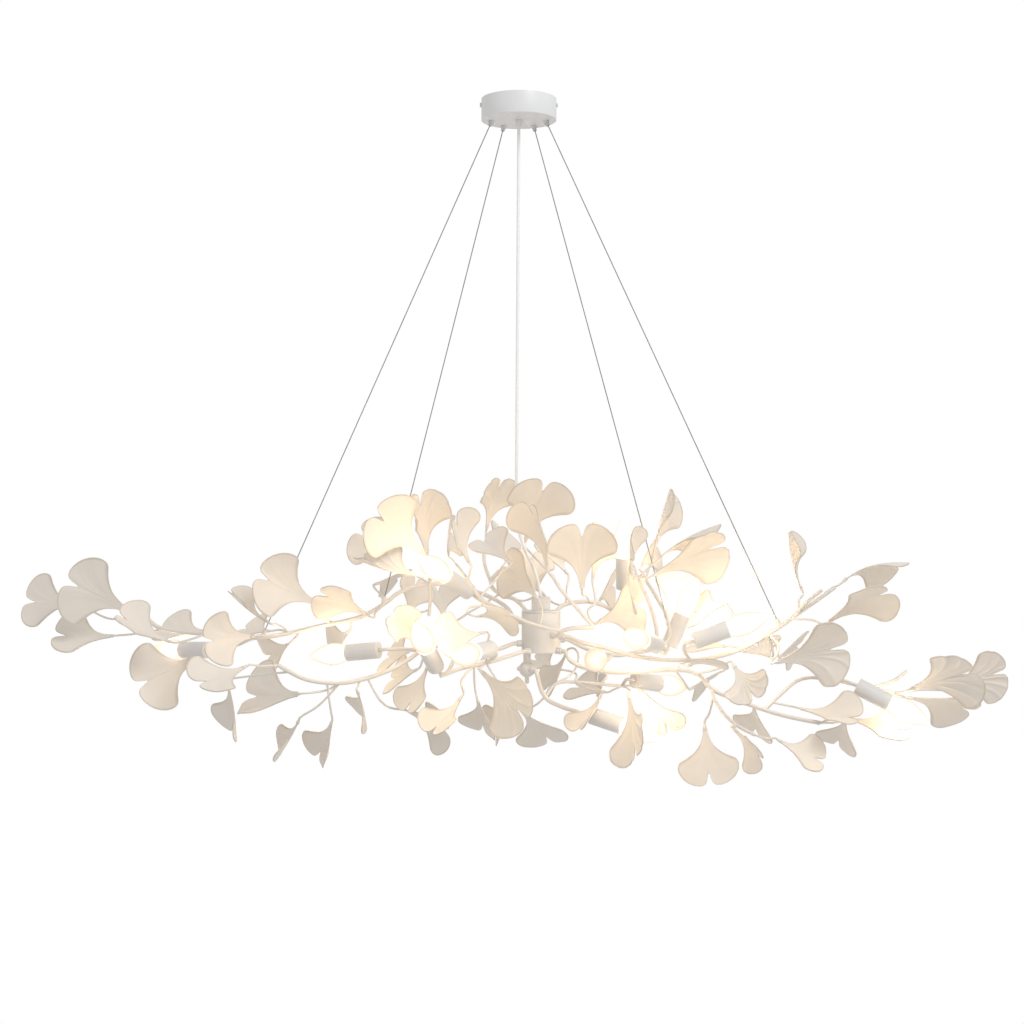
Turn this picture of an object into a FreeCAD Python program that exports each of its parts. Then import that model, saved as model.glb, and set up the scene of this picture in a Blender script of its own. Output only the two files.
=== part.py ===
"""Hanging ginkgo-leaf branch chandelier: ceiling canopy, four steel wires, welded branches, leaves and lamps."""
import FreeCAD, Part
import math
import os
import re
from collections import namedtuple

from FreeCAD import Placement, Rotation, Vector

# Driving dimensions in millimetres, with what each one is
SIZES = {
    "spread_length": (1582.4, "branches and leaves, end to end, at the middle depth"),
    "spread_height": (504.0, "lowest to highest leaf at the middle depth"),
    "half_depth": 250.0,
    "drop_height": (850.0, "ceiling face to the middle of the branches"),
    "canopy_radius": 60.0,
    "canopy_height": 35.0,
    "canopy_wall": 1.5,
    "canopy_edge_round": 2.0,
    "canopy_slack": 0.5,
    "bracket_width": 22.0,
    "bracket_plate": 2.0,
    "slot_pitch": 60.0,
    "slot_length": 14.0,
    "slot_width": 5.0,
    "bracket_ear_height": 16.0,
    "canopy_screw_drop": (10.0, "ceiling face to the side screws"),
    "screw_thread_radius": 1.9,
    "screw_head_radius": 3.6,
    "screw_head_height": 2.2,
    "terminal_length": 30.0,
    "terminal_width": 14.0,
    "terminal_height": 12.0,
    "terminal_hole_radius": 1.6,
    "gland_radius": 5.0,
    "gland_height": 12.0,
    "gland_nut_height": 4.0,
    "gland_thread_radius": 4.2,
    "gland_nut_radius": 7.0,
    "cord_radius": 2.5,
    "cord_clearance": 0.6,
    "outer_grip_offset": (43.0, "outer wires, from the middle of the canopy"),
    "inner_grip_offset": (24.0, "inner wires, from the middle of the canopy"),
    "inner_grip_setback": (35.0, "inner wires, behind the middle of the canopy"),
    "grip_radius": 6.2,
    "grip_height": 12.0,
    "grip_neck_radius": 4.4,
    "grip_neck_height": 9.0,
    "plunger_radius": 3.1,
    "plunger_bore_radius": 2.4,
    "plunger_length": 12.0,
    "plunger_travel": 2.0,
    "wire_radius": 0.75,
    "wire_tail": 8.0,
    "lug_radius": 3.4,
    "lug_length": 13.0,
    "hub_radius": 31.0,
    "hub_height": 64.0,
    "hub_wall": 2.0,
    "hub_neck_radius": 15.0,
    "hub_neck_height": 22.0,
    "hub_plate": 2.5,
    "set_screw_radius": 2.4,
    "set_screw_length": 9.0,
    "hub_rod_radius": 6.0,
    "hub_rod_length": 34.0,
    "ball_radius": 13.0,
    "finial_radius": 3.5,
    "finial_length": 10.0,
    "boss_radius": 5.0,
    "boss_length": 9.0,
    "branch_radius": 3.4,
    "limb_radius": 2.7,
    "twig_radius": 1.7,
    "ferrule_radius": 2.7,
    "ferrule_length": 9.0,
    "leaf_small": 76.0,
    "leaf_medium": 92.0,
    "leaf_large": 112.0,
    "leaf_thickness": 3.0,
    "sleeve_length": 56.0,
    "sleeve_radius": 13.2,
    "sleeve_wall": 0.9,
    "sleeve_back": 2.0,
    "socket_length": 46.0,
    "bulb_cap_radius": 7.0,
    "bulb_cap_length": 24.0,
    "bulb_neck_radius": 9.0,
    "bulb_radius": 17.5,
    "bulb_tip_radius": 1.8,
    "glass_length": 75.0,
    "bulb_widest_share": 0.4,
    "bulb_taper_share": 0.78,
    "bulb_shoulder_share": 0.66,
    "bulb_clearance": 0.4,
    "fit_clearance": 0.3,
}

# How many flats stand for a round section, on the pieces that repeat or are small
SIDES = dict(branch=6, limb=6, twig=4, lug=6, boss=6, lamp=10, socket=6, bulb=10, grip=8, hub=20, rod=10, gland=12,
             nut=6, cord=8, canopy=32, wire=6, screw=8)

# Picture columns and rows, in pixels, that tie the drawn places to real size
SPREAD_LEFT_PX, SPREAD_RIGHT_PX = 20.0, 1009.0
SPREAD_TOP_PX, SPREAD_BOTTOM_PX = 472.0, 787.0
MIDDLE_ROW_PX = 630.0
CANOPY_COLUMN_PX = 518.9
EYE_COLUMN_PX, EYE_ROW_PX = 512.0, 512.0
EYE_DISTANCE_PX = 1676.0
HUB_COLUMN_PX, HUB_TOP_PX = 541.0, 612.0
ROD_COLUMN_PX = 527.0

doc = FreeCAD.newDocument("Chandelier")


def size_sheet():
    """Return the document's sheet with one aliased plain-number cell for each driving dimension."""
    sheet = doc.addObject("Spreadsheet::Sheet", "Sizes")
    for row, (name, value) in enumerate(SIZES.items(), start=1):
        number, note = value if isinstance(value, tuple) else (value, name.replace("_", " "))
        sheet.set(f"A{row}", note)
        sheet.set(f"B{row}", str(number))
        sheet.setAlias(f"B{row}", name)
    doc.recompute()
    return sheet


sheet = size_sheet()


def size(name):
    """Return a driving dimension from the sheet."""
    return float(getattr(sheet, name))


def photo_point(column, row, depth_share):
    """Return the point that shows at a picture column and row, at a share of the half depth behind the axis."""
    across = size("spread_length") / (SPREAD_RIGHT_PX - SPREAD_LEFT_PX)
    upright = size("spread_height") / (SPREAD_BOTTOM_PX - SPREAD_TOP_PX)
    depth = depth_share * size("half_depth")
    growth = 1 + depth / (EYE_DISTANCE_PX * across)
    eye_x = (EYE_COLUMN_PX - CANOPY_COLUMN_PX) * across
    eye_z = (MIDDLE_ROW_PX - EYE_ROW_PX) * upright - size("drop_height")
    return Vector(
        eye_x + (column - EYE_COLUMN_PX) * across * growth,
        depth,
        eye_z + (EYE_ROW_PX - row) * upright * growth,
    )


def polyhedron(rings):
    """Return a solid whose sides join equal rings of points, with flat or fanned caps on both ends."""
    faces = []
    for first, second in zip(rings, rings[1:]):
        count = len(first)
        for i in range(count):
            j = (i + 1) % count
            faces.append(flat_face([first[i], first[j], second[j], second[i]]))
    faces += [flat_face(list(reversed(rings[0]))), flat_face(rings[-1])]
    return solid_of(faces)


def flat_face(points):
    """Return the plane face with these corners."""
    return Part.Face(Part.makePolygon(points + points[:1]))


def solid_of(faces):
    """Return the closed solid that these faces bound, with its outside out."""
    shell = Part.Shell(faces)
    shell.sewShape()
    solid = Part.Solid(Part.Shell(shell.Faces))
    if solid.Volume < 0:
        solid.reverse()
    return solid


def any_normal(direction):
    """Return a unit vector square to a direction, as upright as it can be."""
    up = Vector(0, 0, 1) if abs(direction.z) < 0.9 else Vector(0, 1, 0)
    return (up - direction * up.dot(direction)).normalize()


# A bar's turn that is sharper than this is cut to two turns, at most these shares from the corner
SHARP_TURN = math.radians(50)
CUT_RADIUS_SHARE, CUT_RUN_SHARE = 2.5, 0.4


def mild_turns(points, radius):
    """Return a bar's route with each sharp turn cut to two milder ones."""
    route = [points[0]]
    for before, corner, after in zip(points, points[1:], points[2:]):
        reach = min(CUT_RADIUS_SHARE * radius, CUT_RUN_SHARE * min((corner - before).Length, (after - corner).Length))
        way_in, way_out = (corner - before).normalize(), (after - corner).normalize()
        if way_in.getAngle(way_out) > SHARP_TURN:
            route += [corner - way_in * reach, corner + way_out * reach]
        else:
            route.append(corner)
    return route + [points[-1]]


def bar(points, radius, sides, end_radius=None):
    """Return a bent bar of regular section, mitred where it turns, so that all of its faces are flat.

    With an end radius, the last run widens to it over its outer half.
    """
    points = mild_turns(points, radius)
    runs = [(b - a).normalize() for a, b in zip(points, points[1:])]
    up = any_normal(runs[0])
    side = runs[0].cross(up)
    corner_radius = radius / math.cos(math.pi / sides)
    turn = 2 * math.pi / sides
    ring = [
        points[0]
        + up * corner_radius * math.cos((i + 0.5) * turn)
        + side * corner_radius * math.sin((i + 0.5) * turn)
        for i in range(sides)
    ]
    rings = [ring]
    for i, run in enumerate(runs):
        last = i + 1 == len(runs)
        end = points[i + 1]
        if last and end_radius:
            rings.append(section_on(ring, run, run, (points[i] + end) / 2))
            widened = section_on(ring, run, run, end)
            rings.append([end + (p - end) * (end_radius / radius) for p in widened])
            continue
        mitre = run if last else (run + runs[i + 1]).normalize()
        ring = section_on(ring, run, mitre, end)
        rings.append(ring)
    return polyhedron(rings)


def section_on(ring, run, normal, spot):
    """Return a ring of corners slid along a run onto the plane through a spot."""
    return [p + run * ((spot - p).dot(normal) / run.dot(normal)) for p in ring]


def faceted(outline, sides):
    """Return a many-sided solid turned from (flat radius, height) pairs, closed on the axis or on itself."""
    corner = 1 / math.cos(math.pi / sides)
    turn = 2 * math.pi / sides
    rings = []
    for radius, height in outline:
        rings.append([
            Vector(radius * corner * math.cos((i + 0.5) * turn), radius * corner * math.sin((i + 0.5) * turn), height)
            for i in range(sides)
        ])
    pairs = list(zip(range(len(rings)), range(1, len(rings))))
    tube = all(radius > 0 for radius, height in outline)
    if tube:
        pairs.append((len(rings) - 1, 0))
    faces = []
    for a, b in pairs:
        if outline[a][0] > 0 and outline[b][0] > 0:
            for i in range(sides):
                j = (i + 1) % sides
                faces.append(flat_face([rings[a][i], rings[a][j], rings[b][j], rings[b][i]]))
        elif outline[a][0] > 0 or outline[b][0] > 0:
            faces.append(flat_face(rings[a] if outline[a][0] > 0 else rings[b]))
    return solid_of(faces)


def worked(outline):
    """Return an outline of size expressions as numbers."""
    return [(worth(radius), worth(height)) for radius, height in outline]


# Leaf shape, as shares of its length: the side runs from the neck to the corner, each with the row it
# stands for, and the rim from the notch over a lobe to the corner, each with the column it stands for
SIDE_SHARES = ((0.0, 0.028, 0.0), (0.5, 0.12, 0.32), (0.78, 0.29, 0.47), (1.0, 0.49, 0.57))
RIM_SHARES = ((0.0, 0.0, 0.75), (0.08, 0.05, 0.95), (0.5, 0.33, 0.94), (0.85, 0.52, 0.73), (1.0, 0.50, 0.57))
WIDEST_SHARE = 0.53
ROW_COLUMN_SHARES = ((-1.0, 0.0, 1.0), (-1.0, 0.0, 1.0), (-1.0, -0.5, 0.0, 0.5, 1.0),
                     (-1.0, -0.85, -0.5, -0.08, 0.0, 0.08, 0.5, 0.85, 1.0))

Leaf = namedtuple("Leaf", "cast base tip depth toward roll curl bend stem")
Lamp = namedtuple("Lamp", "back mouth depth toward stem")
Limb = namedtuple("Limb", "radius route")
LEAST_TURN = math.radians(0.1)


def outline_point(column_share, row):
    """Return a flat blade's place at a column and a row, as shares of its length across and along."""
    rim = {column: (across, along) for column, across, along in RIM_SHARES}[abs(column_share)]
    _, corner_across, corner_along = SIDE_SHARES[-1]
    _, side_across, side_along = SIDE_SHARES[row]
    across = math.copysign(rim[0] * side_across / corner_across, column_share)
    return across, rim[1] * side_along / corner_along


def chord_share(bend):
    """Return a bent blade's straight reach as a share of its length."""
    half = math.radians(abs(bend)) / 2
    return math.sin(half) / half if half > 0.001 else 1.0


class LeafPlace:
    """Where a leaf sits: its base, the way its neck leaves the stem, and the way its face looks."""

    def __init__(self, leaf):
        self.leaf = leaf
        self.length = size("leaf_" + leaf.cast)
        self.base = photo_point(*leaf.base, leaf.depth)
        self.find_axes()

    def find_axes(self):
        """Tilt the leaf towards or away from the eye until its cast length shows as long as it is seen."""
        chord = self.length * chord_share(self.leaf.bend)
        level_tip = photo_point(*self.leaf.tip, self.leaf.depth)
        shown = (level_tip - self.base).Length
        self.grow = max(shown / chord, 1.0)
        hidden = math.sqrt(max(chord * chord - shown * shown, 0.0))
        share = self.leaf.depth - self.leaf.toward * hidden / size("half_depth")
        chord_way = (photo_point(*self.leaf.tip, share) - self.base).normalize()
        eye = Vector(0, -1, 0)
        facing = (eye - chord_way * eye.dot(chord_way)).normalize()
        facing = Rotation(chord_way, self.leaf.roll).multVec(facing)
        half = math.radians(self.leaf.bend) / 2
        self.along = chord_way * math.cos(half) - facing * math.sin(half)
        self.face = facing * math.cos(half) + chord_way * math.sin(half)
        self.across = self.along.cross(self.face)

    def point(self, column_share, row, lift):
        """Return a point of the curled, bent blade, lifted off its middle surface."""
        length = self.length * self.grow
        row_share, side_across, _ = SIDE_SHARES[row]
        half_width = length * WIDEST_SHARE * side_across / SIDE_SHARES[-1][1]
        left_curl, right_curl = self.leaf.curl
        curl = max(math.radians(left_curl if column_share < 0 else right_curl) * row_share, LEAST_TURN)
        arc = half_width / curl
        across, along = outline_point(column_share, row)
        turn = across * length / arc
        x = (arc - lift) * math.sin(turn)
        z = arc - (arc - lift) * math.cos(turn)
        bend = math.radians(self.leaf.bend)
        radius = length / (bend if abs(bend) > LEAST_TURN else LEAST_TURN)
        angle = along * length / radius
        y_bent = (radius - z) * math.sin(angle)
        z_bent = radius - (radius - z) * math.cos(angle)
        return self.base + self.across * x + self.along * y_bent + self.face * z_bent

    def rows(self, lift):
        """Return the rows of points of one side of the blade, which thins to nothing at its sides and rim."""
        last = len(SIDE_SHARES) - 1
        return [
            [self.point(c, row, lift if abs(c) < 1 and row < last else 0.0) for c in columns]
            for row, columns in enumerate(ROW_COLUMN_SHARES)
        ]

    def solid(self):
        """Return the leaf as one closed cast piece, thick along the middle and fine at the rim."""
        half = size("leaf_thickness") / 2
        front, back = self.rows(half), self.rows(-half)
        faces = [flat_face(t) for t in strip_triangles(front) + strip_triangles(back)]
        left, middle, right = front[0]
        faces += [flat_face([left, middle, right]), flat_face([left, right, back[0][1]])]
        return solid_of(faces)


def strip_triangles(rows):
    """Return the triangles that join rows of points, each row with as many points as it needs."""
    triangles = []
    for near, far in zip(rows, rows[1:]):
        i = j = 0
        while i < len(near) - 1 or j < len(far) - 1:
            near_next = (i + 1) / (len(near) - 1) if i < len(near) - 1 else 2
            far_next = (j + 1) / (len(far) - 1) if j < len(far) - 1 else 2
            if i and far_next <= near_next:
                triangles.append([near[i], far[j], far[j + 1]])
                j += 1
            else:
                triangles.append([near[i], far[j], near[i + 1]])
                i += 1
    return triangles


FLAT, SOFT, CUP, ROLL, BOAT = (12, 12), (28, 28), (50, 50), (75, 75), (100, 100)

# Each welded limb: where it leaves the hub, its bars, its leaves and its lamps.
# Bars and stems run through picture columns, rows and shares of the half depth; a stem starts on a bar.
Group = namedtuple("Group", "boss bars leaves lamps")

GROUPS = {
    "upper_left": Group(
        boss=(150, 622),
        bars=(
            Limb("branch", ((505, 606, .16), (470, 590, .20), (430, 584, .21), (400, 592, .19), (385, 603, .17),
                            (365, 615, .15), (345, 621, .12), (320, 626, .10), (290, 633, .08), (255, 638, .05),
                            (206, 634, .02), (165, 629, .0), (156, 626, .0), (139, 607, -.03))),
            Limb("limb", ((430, 584, .21), (430, 600, .20), (429, 616, .19))),
        ),
        leaves=(
            Leaf("medium", (74, 603), (20, 601), .10, -1, 24, SOFT, 15, ((134, 623, .03), (112, 619, .06), (92, 611, .09))),
            Leaf("large", (129, 611), (67, 582), -.04, 1, -8, FLAT, 15, ((156, 626), (148, 622, -.02))),
            Leaf("medium", (112, 636), (53, 634), .06, -1, 50, SOFT, 20, ((165, 629), (134, 634, .05))),
            Leaf("medium", (168, 641), (118, 613), -.22, 1, 64, CUP, 30, ((206, 634), (188, 640, -.12))),
            Leaf("large", (197, 658), (141, 684), .14, 1, 0, SOFT, 15, ((255, 638), (226, 650, .09))),
            Leaf("medium", (206, 631), (155, 629), .22, -1, 60, SOFT, 10, ((255, 638), (228, 634, .18))),
            Leaf("medium", (253, 636), (207, 641), -.10, 1, 5, CUP, 15, ((290, 633), (270, 635, -.02))),
            Leaf("small", (266, 621), (229, 590), -.02, 1, 78, CUP, 20, ((290, 633), (278, 624, .04))),
            Leaf("small", (268, 631), (240, 628), .30, -1, 62, SOFT, 10, ((290, 633), (280, 630, .20))),
            Leaf("small", (287, 645), (264, 659), .16, -1, 15, CUP, 10, ((300, 631), (295, 638, .14))),
            Leaf("large", (316, 603), (259, 575), .02, 1, 18, (35, 60), 25, ((330, 624), (322, 612, .05))),
            Leaf("medium", (368, 615), (318, 593), -.04, 1, -45, SOFT, 10, ((385, 603), (376, 612, .10))),
            Leaf("small", (348, 632), (327, 650), .28, -1, 40, SOFT, 10, ((352, 619), (351, 625, .20))),
            Leaf("large", (423, 552), (374, 513), .06, 1, 8, SOFT, 15, ((430, 584), (429, 565, .14))),
            Leaf("medium", (398, 566), (357, 529), .42, 1, 0, SOFT, 15, ((430, 584), (415, 575, .34))),
            Leaf("large", (422, 576), (358, 557), -.18, -1, 72, CUP, 20, ((430, 584), (429, 580, .08))),
            Leaf("large", (427, 552), (420, 491), .36, 1, 34, BOAT, 20, ((430, 584), (433, 568, .30))),
            Leaf("small", (409, 618), (417, 577), .36, -1, 40, SOFT, 10, ((429, 610), (418, 614, .26))),
            Leaf("small", (376, 584), (400, 578), .34, -1, 62, SOFT, 10, ((385, 603), (380, 594, .26))),
        ),
        lamps=(Lamp((208, 650), (180, 650), -.02, -1, ((255, 638), (226, 646, .0))),),
    ),
    "lower_left": Group(
        boss=(195, 643),
        bars=(
            Limb("branch", ((497, 649, -.12), (455, 645, -.20), (425, 649, -.26), (405, 662, -.30), (385, 672, -.34),
                            (360, 680, -.38), (340, 683, -.40), (320, 682, -.41), (305, 679, -.42), (290, 672, -.43),
                            (278, 665, -.44))),
        ),
        leaves=(
            Leaf("large", (298, 694), (240, 697), -.36, -1, 25, (90, 6), 15, ((340, 683), (327, 690, -.38))),
            Leaf("small", (298, 722), (277, 758), -.30, -1, 72, CUP, 10, ((340, 683), (318, 706, -.36))),
            Leaf("small", (331, 724), (316, 762), -.28, -1, 28, (80, 20), 10, ((326, 699), (331, 712, -.34))),
            Leaf("medium", (245, 667), (200, 682), -.62, 1, 50, SOFT, 15, ((278, 666), (260, 666, -.54))),
            Leaf("medium", (228, 686), (234, 737), -.30, -1, 58, CUP, 15, ((290, 672), (250, 676, -.38))),
            Leaf("small", (358, 693), (365, 722), -.38, -1, 70, CUP, 10, ((360, 680), (358, 686, -.38))),
            Leaf("medium", (410, 712), (450, 733), -.30, 1, 35, SOFT, 10, ((367, 678), (385, 705, -.36))),
            Leaf("small", (427, 668), (406, 711), -.38, 1, 52, SOFT, 10, ((425, 649), (427, 658, -.32))),
            Leaf("small", (416, 670), (388, 681), -.10, -1, 58, SOFT, 10, ((425, 649), (422, 662, -.20))),
            Leaf("small", (408, 652), (384, 658), .08, -1, 56, FLAT, 10, ((425, 649), (416, 651, -.06))),
            Leaf("small", (418, 643), (391, 612), -.34, 1, 20, ROLL, 20, ((425, 649), (422, 647, -.30))),
        ),
        lamps=(
            Lamp((379, 650), (346, 653), -.16, -1, ((425, 649), (398, 649, -.18))),
            Lamp((436, 667), (426, 647), -.46, 1, ((455, 645), (450, 668, -.36), (442, 674, -.42))),
        ),
    ),
    "front_arc": Group(
        boss=(305, 634),
        bars=(
            Limb("branch", ((562, 631, -.19), (594, 627, -.20))),
            Limb("limb", ((562, 631, -.19), (550, 629, -.19), (520, 619, -.21), (495, 607, -.23), (480, 597, -.25),
                          (468, 580, -.28), (455, 564, -.30))),
            Limb("limb", ((594, 627, -.20), (575, 606, -.18), (560, 588, -.16), (552, 575, -.15))),
        ),
        leaves=(
            Leaf("small", (448, 554), (450, 529), -.30, -1, 80, CUP, 10, ((455, 564), (451, 559, -.30))),
            Leaf("medium", (469, 562), (455, 515), -.34, 1, 58, CUP, 20, ((468, 580), (470, 571, -.32))),
            Leaf("small", (508, 560), (481, 538), -.20, -1, 30, CUP, 10, ((480, 597), (501, 574, -.22))),
            Leaf("large", (547, 566), (528, 502), -.16, 1, -62, CUP, 20, ((552, 575),)),
            Leaf("small", (480, 616), (513, 616), -.32, 1, 45, SOFT, 10, ((495, 607), (480, 606, -.27), (467, 611, -.30))),
            Leaf("large", (526, 539), (547, 480), .07, 1, 20, SOFT, 20, ((556, 582), (543, 566, -.08), (530, 552, .0))),
            Leaf("medium", (536, 597), (504, 562), -.16, -1, -38, SOFT, 10, ((540, 626), (542, 610, -.17))),
        ),
        lamps=(Lamp((469, 592), (446, 576), -.06, 1, ((495, 607), (480, 600, -.12))),),
    ),
    "front_left": Group(
        boss=(230, 650),
        bars=(
            Limb("branch", ((512, 655, -.22), (486, 663, -.34), (462, 668, -.42), (440, 676, -.48))),
        ),
        leaves=(
            Leaf("small", (482, 633), (437, 639), -.50, 1, 22, SOFT, 15, ((486, 663), (487, 645, -.44))),
            Leaf("large", (482, 672), (526, 721), -.46, 1, 35, SOFT, 15, ((486, 663), (480, 668, -.40))),
            Leaf("small", (460, 699), (431, 732), -.56, 1, 48, CUP, 20, ((474, 666), (461, 682, -.50))),
            Leaf("small", (478, 702), (484, 734), -.37, -1, 40, CUP, 10, ((474, 666), (475, 688, -.38))),
            Leaf("small", (506, 706), (494, 734), -.28, -1, 55, CUP, 10, ((486, 663), (500, 686, -.32))),
        ),
        lamps=(Lamp((490, 649), (474, 653), -.66, 1, ((486, 663), (496, 655, -.48))),),
    ),
    "top_left": Group(
        boss=(110, 618),
        bars=(
            Limb("branch", ((516, 600, .26), (500, 594, .36), (491, 583, .42), (499, 571, .46))),
            Limb("limb", ((491, 583, .42), (484, 560, .44), (486, 540, .44))),
        ),
        leaves=(
            Leaf("medium", (487, 527), (503, 478), .44, 1, 40, CUP, 20, ((486, 540),)),
            Leaf("small", (505, 558), (501, 528), .60, -1, 55, SOFT, 10, ((499, 571), (503, 566, .53))),
            Leaf("small", (444, 617), (437, 585), .56, -1, 30, CUP, 10, ((500, 594), (470, 612, .44), (450, 622, .52))),
            Leaf("small", (534, 590), (531, 551), .20, -1, 30, SOFT, 10, ((516, 600), (527, 600, .20))),
        ),
        lamps=(),
    ),
    "top_right": Group(
        boss=(60, 616),
        bars=(
            Limb("branch", ((562, 606, .24), (578, 602, .28), (596, 603, .30), (615, 612, .32), (630, 624, .34))),
        ),
        leaves=(
            Leaf("large", (582, 588), (582, 523), .14, 1, 0, SOFT, 15, ((590, 603), (586, 596, .20))),
            Leaf("medium", (593, 576), (602, 527), .44, -1, 42, CUP, 10, ((596, 603), (594, 590, .38))),
            Leaf("small", (566, 572), (546, 544), .46, -1, 50, SOFT, 10, ((566, 605), (567, 588, .38))),
            Leaf("small", (543, 594), (520, 570), .34, -1, 45, CUP, 10, ((562, 606), (552, 602, .30))),
            Leaf("small", (600, 600), (615, 583), .50, -1, 48, SOFT, 10, ((615, 612), (607, 608, .42))),
            Leaf("medium", (599, 622), (645, 604), .16, -1, 15, SOFT, 10, ((596, 603), (588, 612, .20))),
        ),
        lamps=(Lamp((624, 588), (624, 556), .40, 1, ((620, 616), (627, 606, .39))),),
    ),
    "right_cluster": Group(
        boss=(20, 640),
        bars=(
            Limb("branch", ((585, 648, .06), (612, 655, .04), (640, 652, .03), (658, 648, .02))),
            Limb("limb", ((658, 648, .02), (655, 622, -.02), (648, 600, -.06), (638, 578, -.10))),
            Limb("limb", ((658, 648, .02), (668, 640, .05), (667, 618, .08), (657, 598, .10), (646, 580, .12))),
        ),
        leaves=(
            Leaf("large", (653, 556), (671, 490), .12, -1, 74, CUP, 10, ((646, 580), (649, 568, .12))),
            Leaf("large", (660, 558), (719, 526), -.12, -1, 74, CUP, 28, ((638, 578), (650, 567, -.12))),
            Leaf("large", (654, 575), (727, 543), -.24, -1, 50, SOFT, 10, ((638, 578), (646, 576, -.16))),
            Leaf("small", (641, 566), (658, 543), .24, -1, 50, CUP, 10, ((646, 580), (643, 573, .18))),
            Leaf("small", (632, 572), (632, 530), -.22, 1, 68, CUP, 15, ((638, 578), (634, 575, -.14))),
            Leaf("small", (629, 574), (634, 604), -.20, -1, -66, CUP, 10, ((638, 578), (632, 564, -.16))),
            Leaf("small", (669, 613), (681, 574), .26, -1, 0, SOFT, 10, ((667, 625), (668, 619, .16))),
        ),
        lamps=(
            Lamp((657, 645), (642, 640), -.18, 1, ((658, 648), (668, 650, -.10), (664, 648, -.14))),
            Lamp((669, 646), (684, 611), .22, -1, ((658, 648), (663, 655, .14))),
            Lamp((597, 664), (596, 661), -.36, 1, ((612, 655), (603, 664, -.14), (597, 665, -.26))),
        ),
    ),
    "upper_right": Group(
        boss=(340, 636),
        bars=(
            Limb("branch", ((578, 641, -.08), (605, 648, -.10), (640, 657, -.12), (690, 660, -.13), (720, 656, -.12),
                            (745, 647, -.11), (768, 634, -.10), (785, 623, -.09), (800, 612, -.08), (820, 598, -.07),
                            (835, 587, -.06))),
            Limb("limb", ((796, 614, -.08), (808, 601, -.14), (822, 590, -.18))),
        ),
        leaves=(
            Leaf("medium", (801, 588), (789, 531), .04, -1, 74, CUP, 22, ((800, 612), (799, 600, .0))),
            Leaf("large", (845, 580), (907, 565), -.05, -1, 70, CUP, 48, ((835, 587),)),
            Leaf("large", (830, 621), (888, 593), -.20, 1, 48, SOFT, 20, ((790, 619), (812, 620, -.16))),
            Leaf("large", (777, 662), (849, 646), -.34, 1, 26, SOFT, 10, ((768, 634), (778, 645, -.20), (776, 656, -.28))),
            Leaf("small", (781, 656), (801, 644), .04, -1, 45, SOFT, 10, ((768, 634), (776, 645, -.04))),
            Leaf("small", (771, 657), (755, 644), .14, -1, 30, SOFT, 10, ((768, 634), (772, 646, .0))),
            Leaf("small", (722, 605), (693, 614), .22, -1, 58, SOFT, 10, ((745, 647), (736, 620, .10))),
            Leaf("small", (724, 646), (695, 644), .14, -1, 64, SOFT, 10, ((745, 647), (735, 647, .0))),
        ),
        lamps=(Lamp((694, 641), (729, 629), -.34, 1, ((690, 660), (684, 650, -.22), (686, 643, -.30))),),
    ),
    "lower_right": Group(
        boss=(325, 650),
        bars=(
            Limb("branch", ((572, 662, -.20), (600, 671, -.28), (640, 672, -.32), (675, 670, -.32), (697, 674, -.32),
                            (712, 689, -.33), (735, 699, -.34), (765, 710, -.34), (790, 717, -.34), (820, 723, -.34))),
            Limb("limb", ((765, 710, -.34), (780, 695, -.28), (802, 679, -.22), (830, 679, -.20))),
            Limb("limb", ((830, 679, -.20), (870, 688, -.10), (895, 693, -.06))),
            Limb("limb", ((870, 688, -.10), (893, 681, -.06), (907, 671, -.04))),
            Limb("limb", ((712, 689, -.33), (716, 702, -.38), (735, 724, -.44), (755, 735, -.46))),
        ),
        leaves=(
            Leaf("small", (734, 666), (754, 698), -.54, 1, 5, CUP, 15, ((697, 674), (720, 668, -.44))),
            Leaf("small", (692, 688), (713, 679), -.14, -1, 55, SOFT, 10, ((675, 670), (684, 682, -.22))),
            Leaf("small", (690, 665), (711, 659), -.50, 1, 52, SOFT, 10, ((675, 670), (683, 664, -.42))),
            Leaf("small", (754, 709), (756, 736), -.20, -1, 52, SOFT, 10, ((735, 699), (750, 703, -.26))),
            Leaf("medium", (705, 728), (710, 786), -.06, -1, 0, FLAT, 10, ((714, 695), (709, 714, -.20))),
            Leaf("small", (735, 730), (761, 759), -.56, 1, 60, CUP, 10, ((735, 724), (735, 727, -.50))),
            Leaf("small", (780, 741), (825, 762), -.46, -1, -50, SOFT, 15, ((755, 735), (768, 739, -.46))),
            Leaf("medium", (803, 709), (856, 718), -.30, 1, -60, CUP, 10, ((772, 702), (790, 706, -.32))),
            Leaf("small", (845, 722), (836, 747), -.40, -1, 30, CUP, 10, ((820, 723), (832, 719, -.36))),
            Leaf("medium", (852, 719), (906, 731), -.14, 1, -50, CUP, 10, ((820, 723), (838, 722, -.24))),
            Leaf("large", (912, 689), (971, 673), -.42, 1, 28, SOFT, 15, ((895, 693), (904, 692, -.24))),
            Leaf("medium", (950, 688), (1007, 671), .34, -1, 26, FLAT, 10, ((895, 693), (918, 690, .12), (934, 690, .24))),
            Leaf("large", (910, 698), (977, 712), .06, -1, 58, SOFT, 10, ((895, 693), (902, 696, .0))),
        ),
        lamps=(Lamp((857, 686), (888, 702), -.26, 1, ((830, 679), (845, 681, -.24))),),
    ),
    "bottom": Group(
        boss=(300, 684),
        bars=(
            Limb("branch", ((545, 697, -.10), (560, 706, -.12), (578, 712, -.13))),
            Limb("limb", ((545, 697, -.10), (556, 684, -.04), (575, 682, .02), (600, 684, .06), (622, 686, .08))),
        ),
        leaves=(
            Leaf("small", (566, 654), (544, 694), .12, -1, 68, SOFT, 10, ((556, 684), (576, 668, .06), (576, 650, .09))),
            Leaf("medium", (524, 714), (553, 745), .10, -1, 36, SOFT, 10, ((545, 697), (534, 706, .02))),
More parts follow.
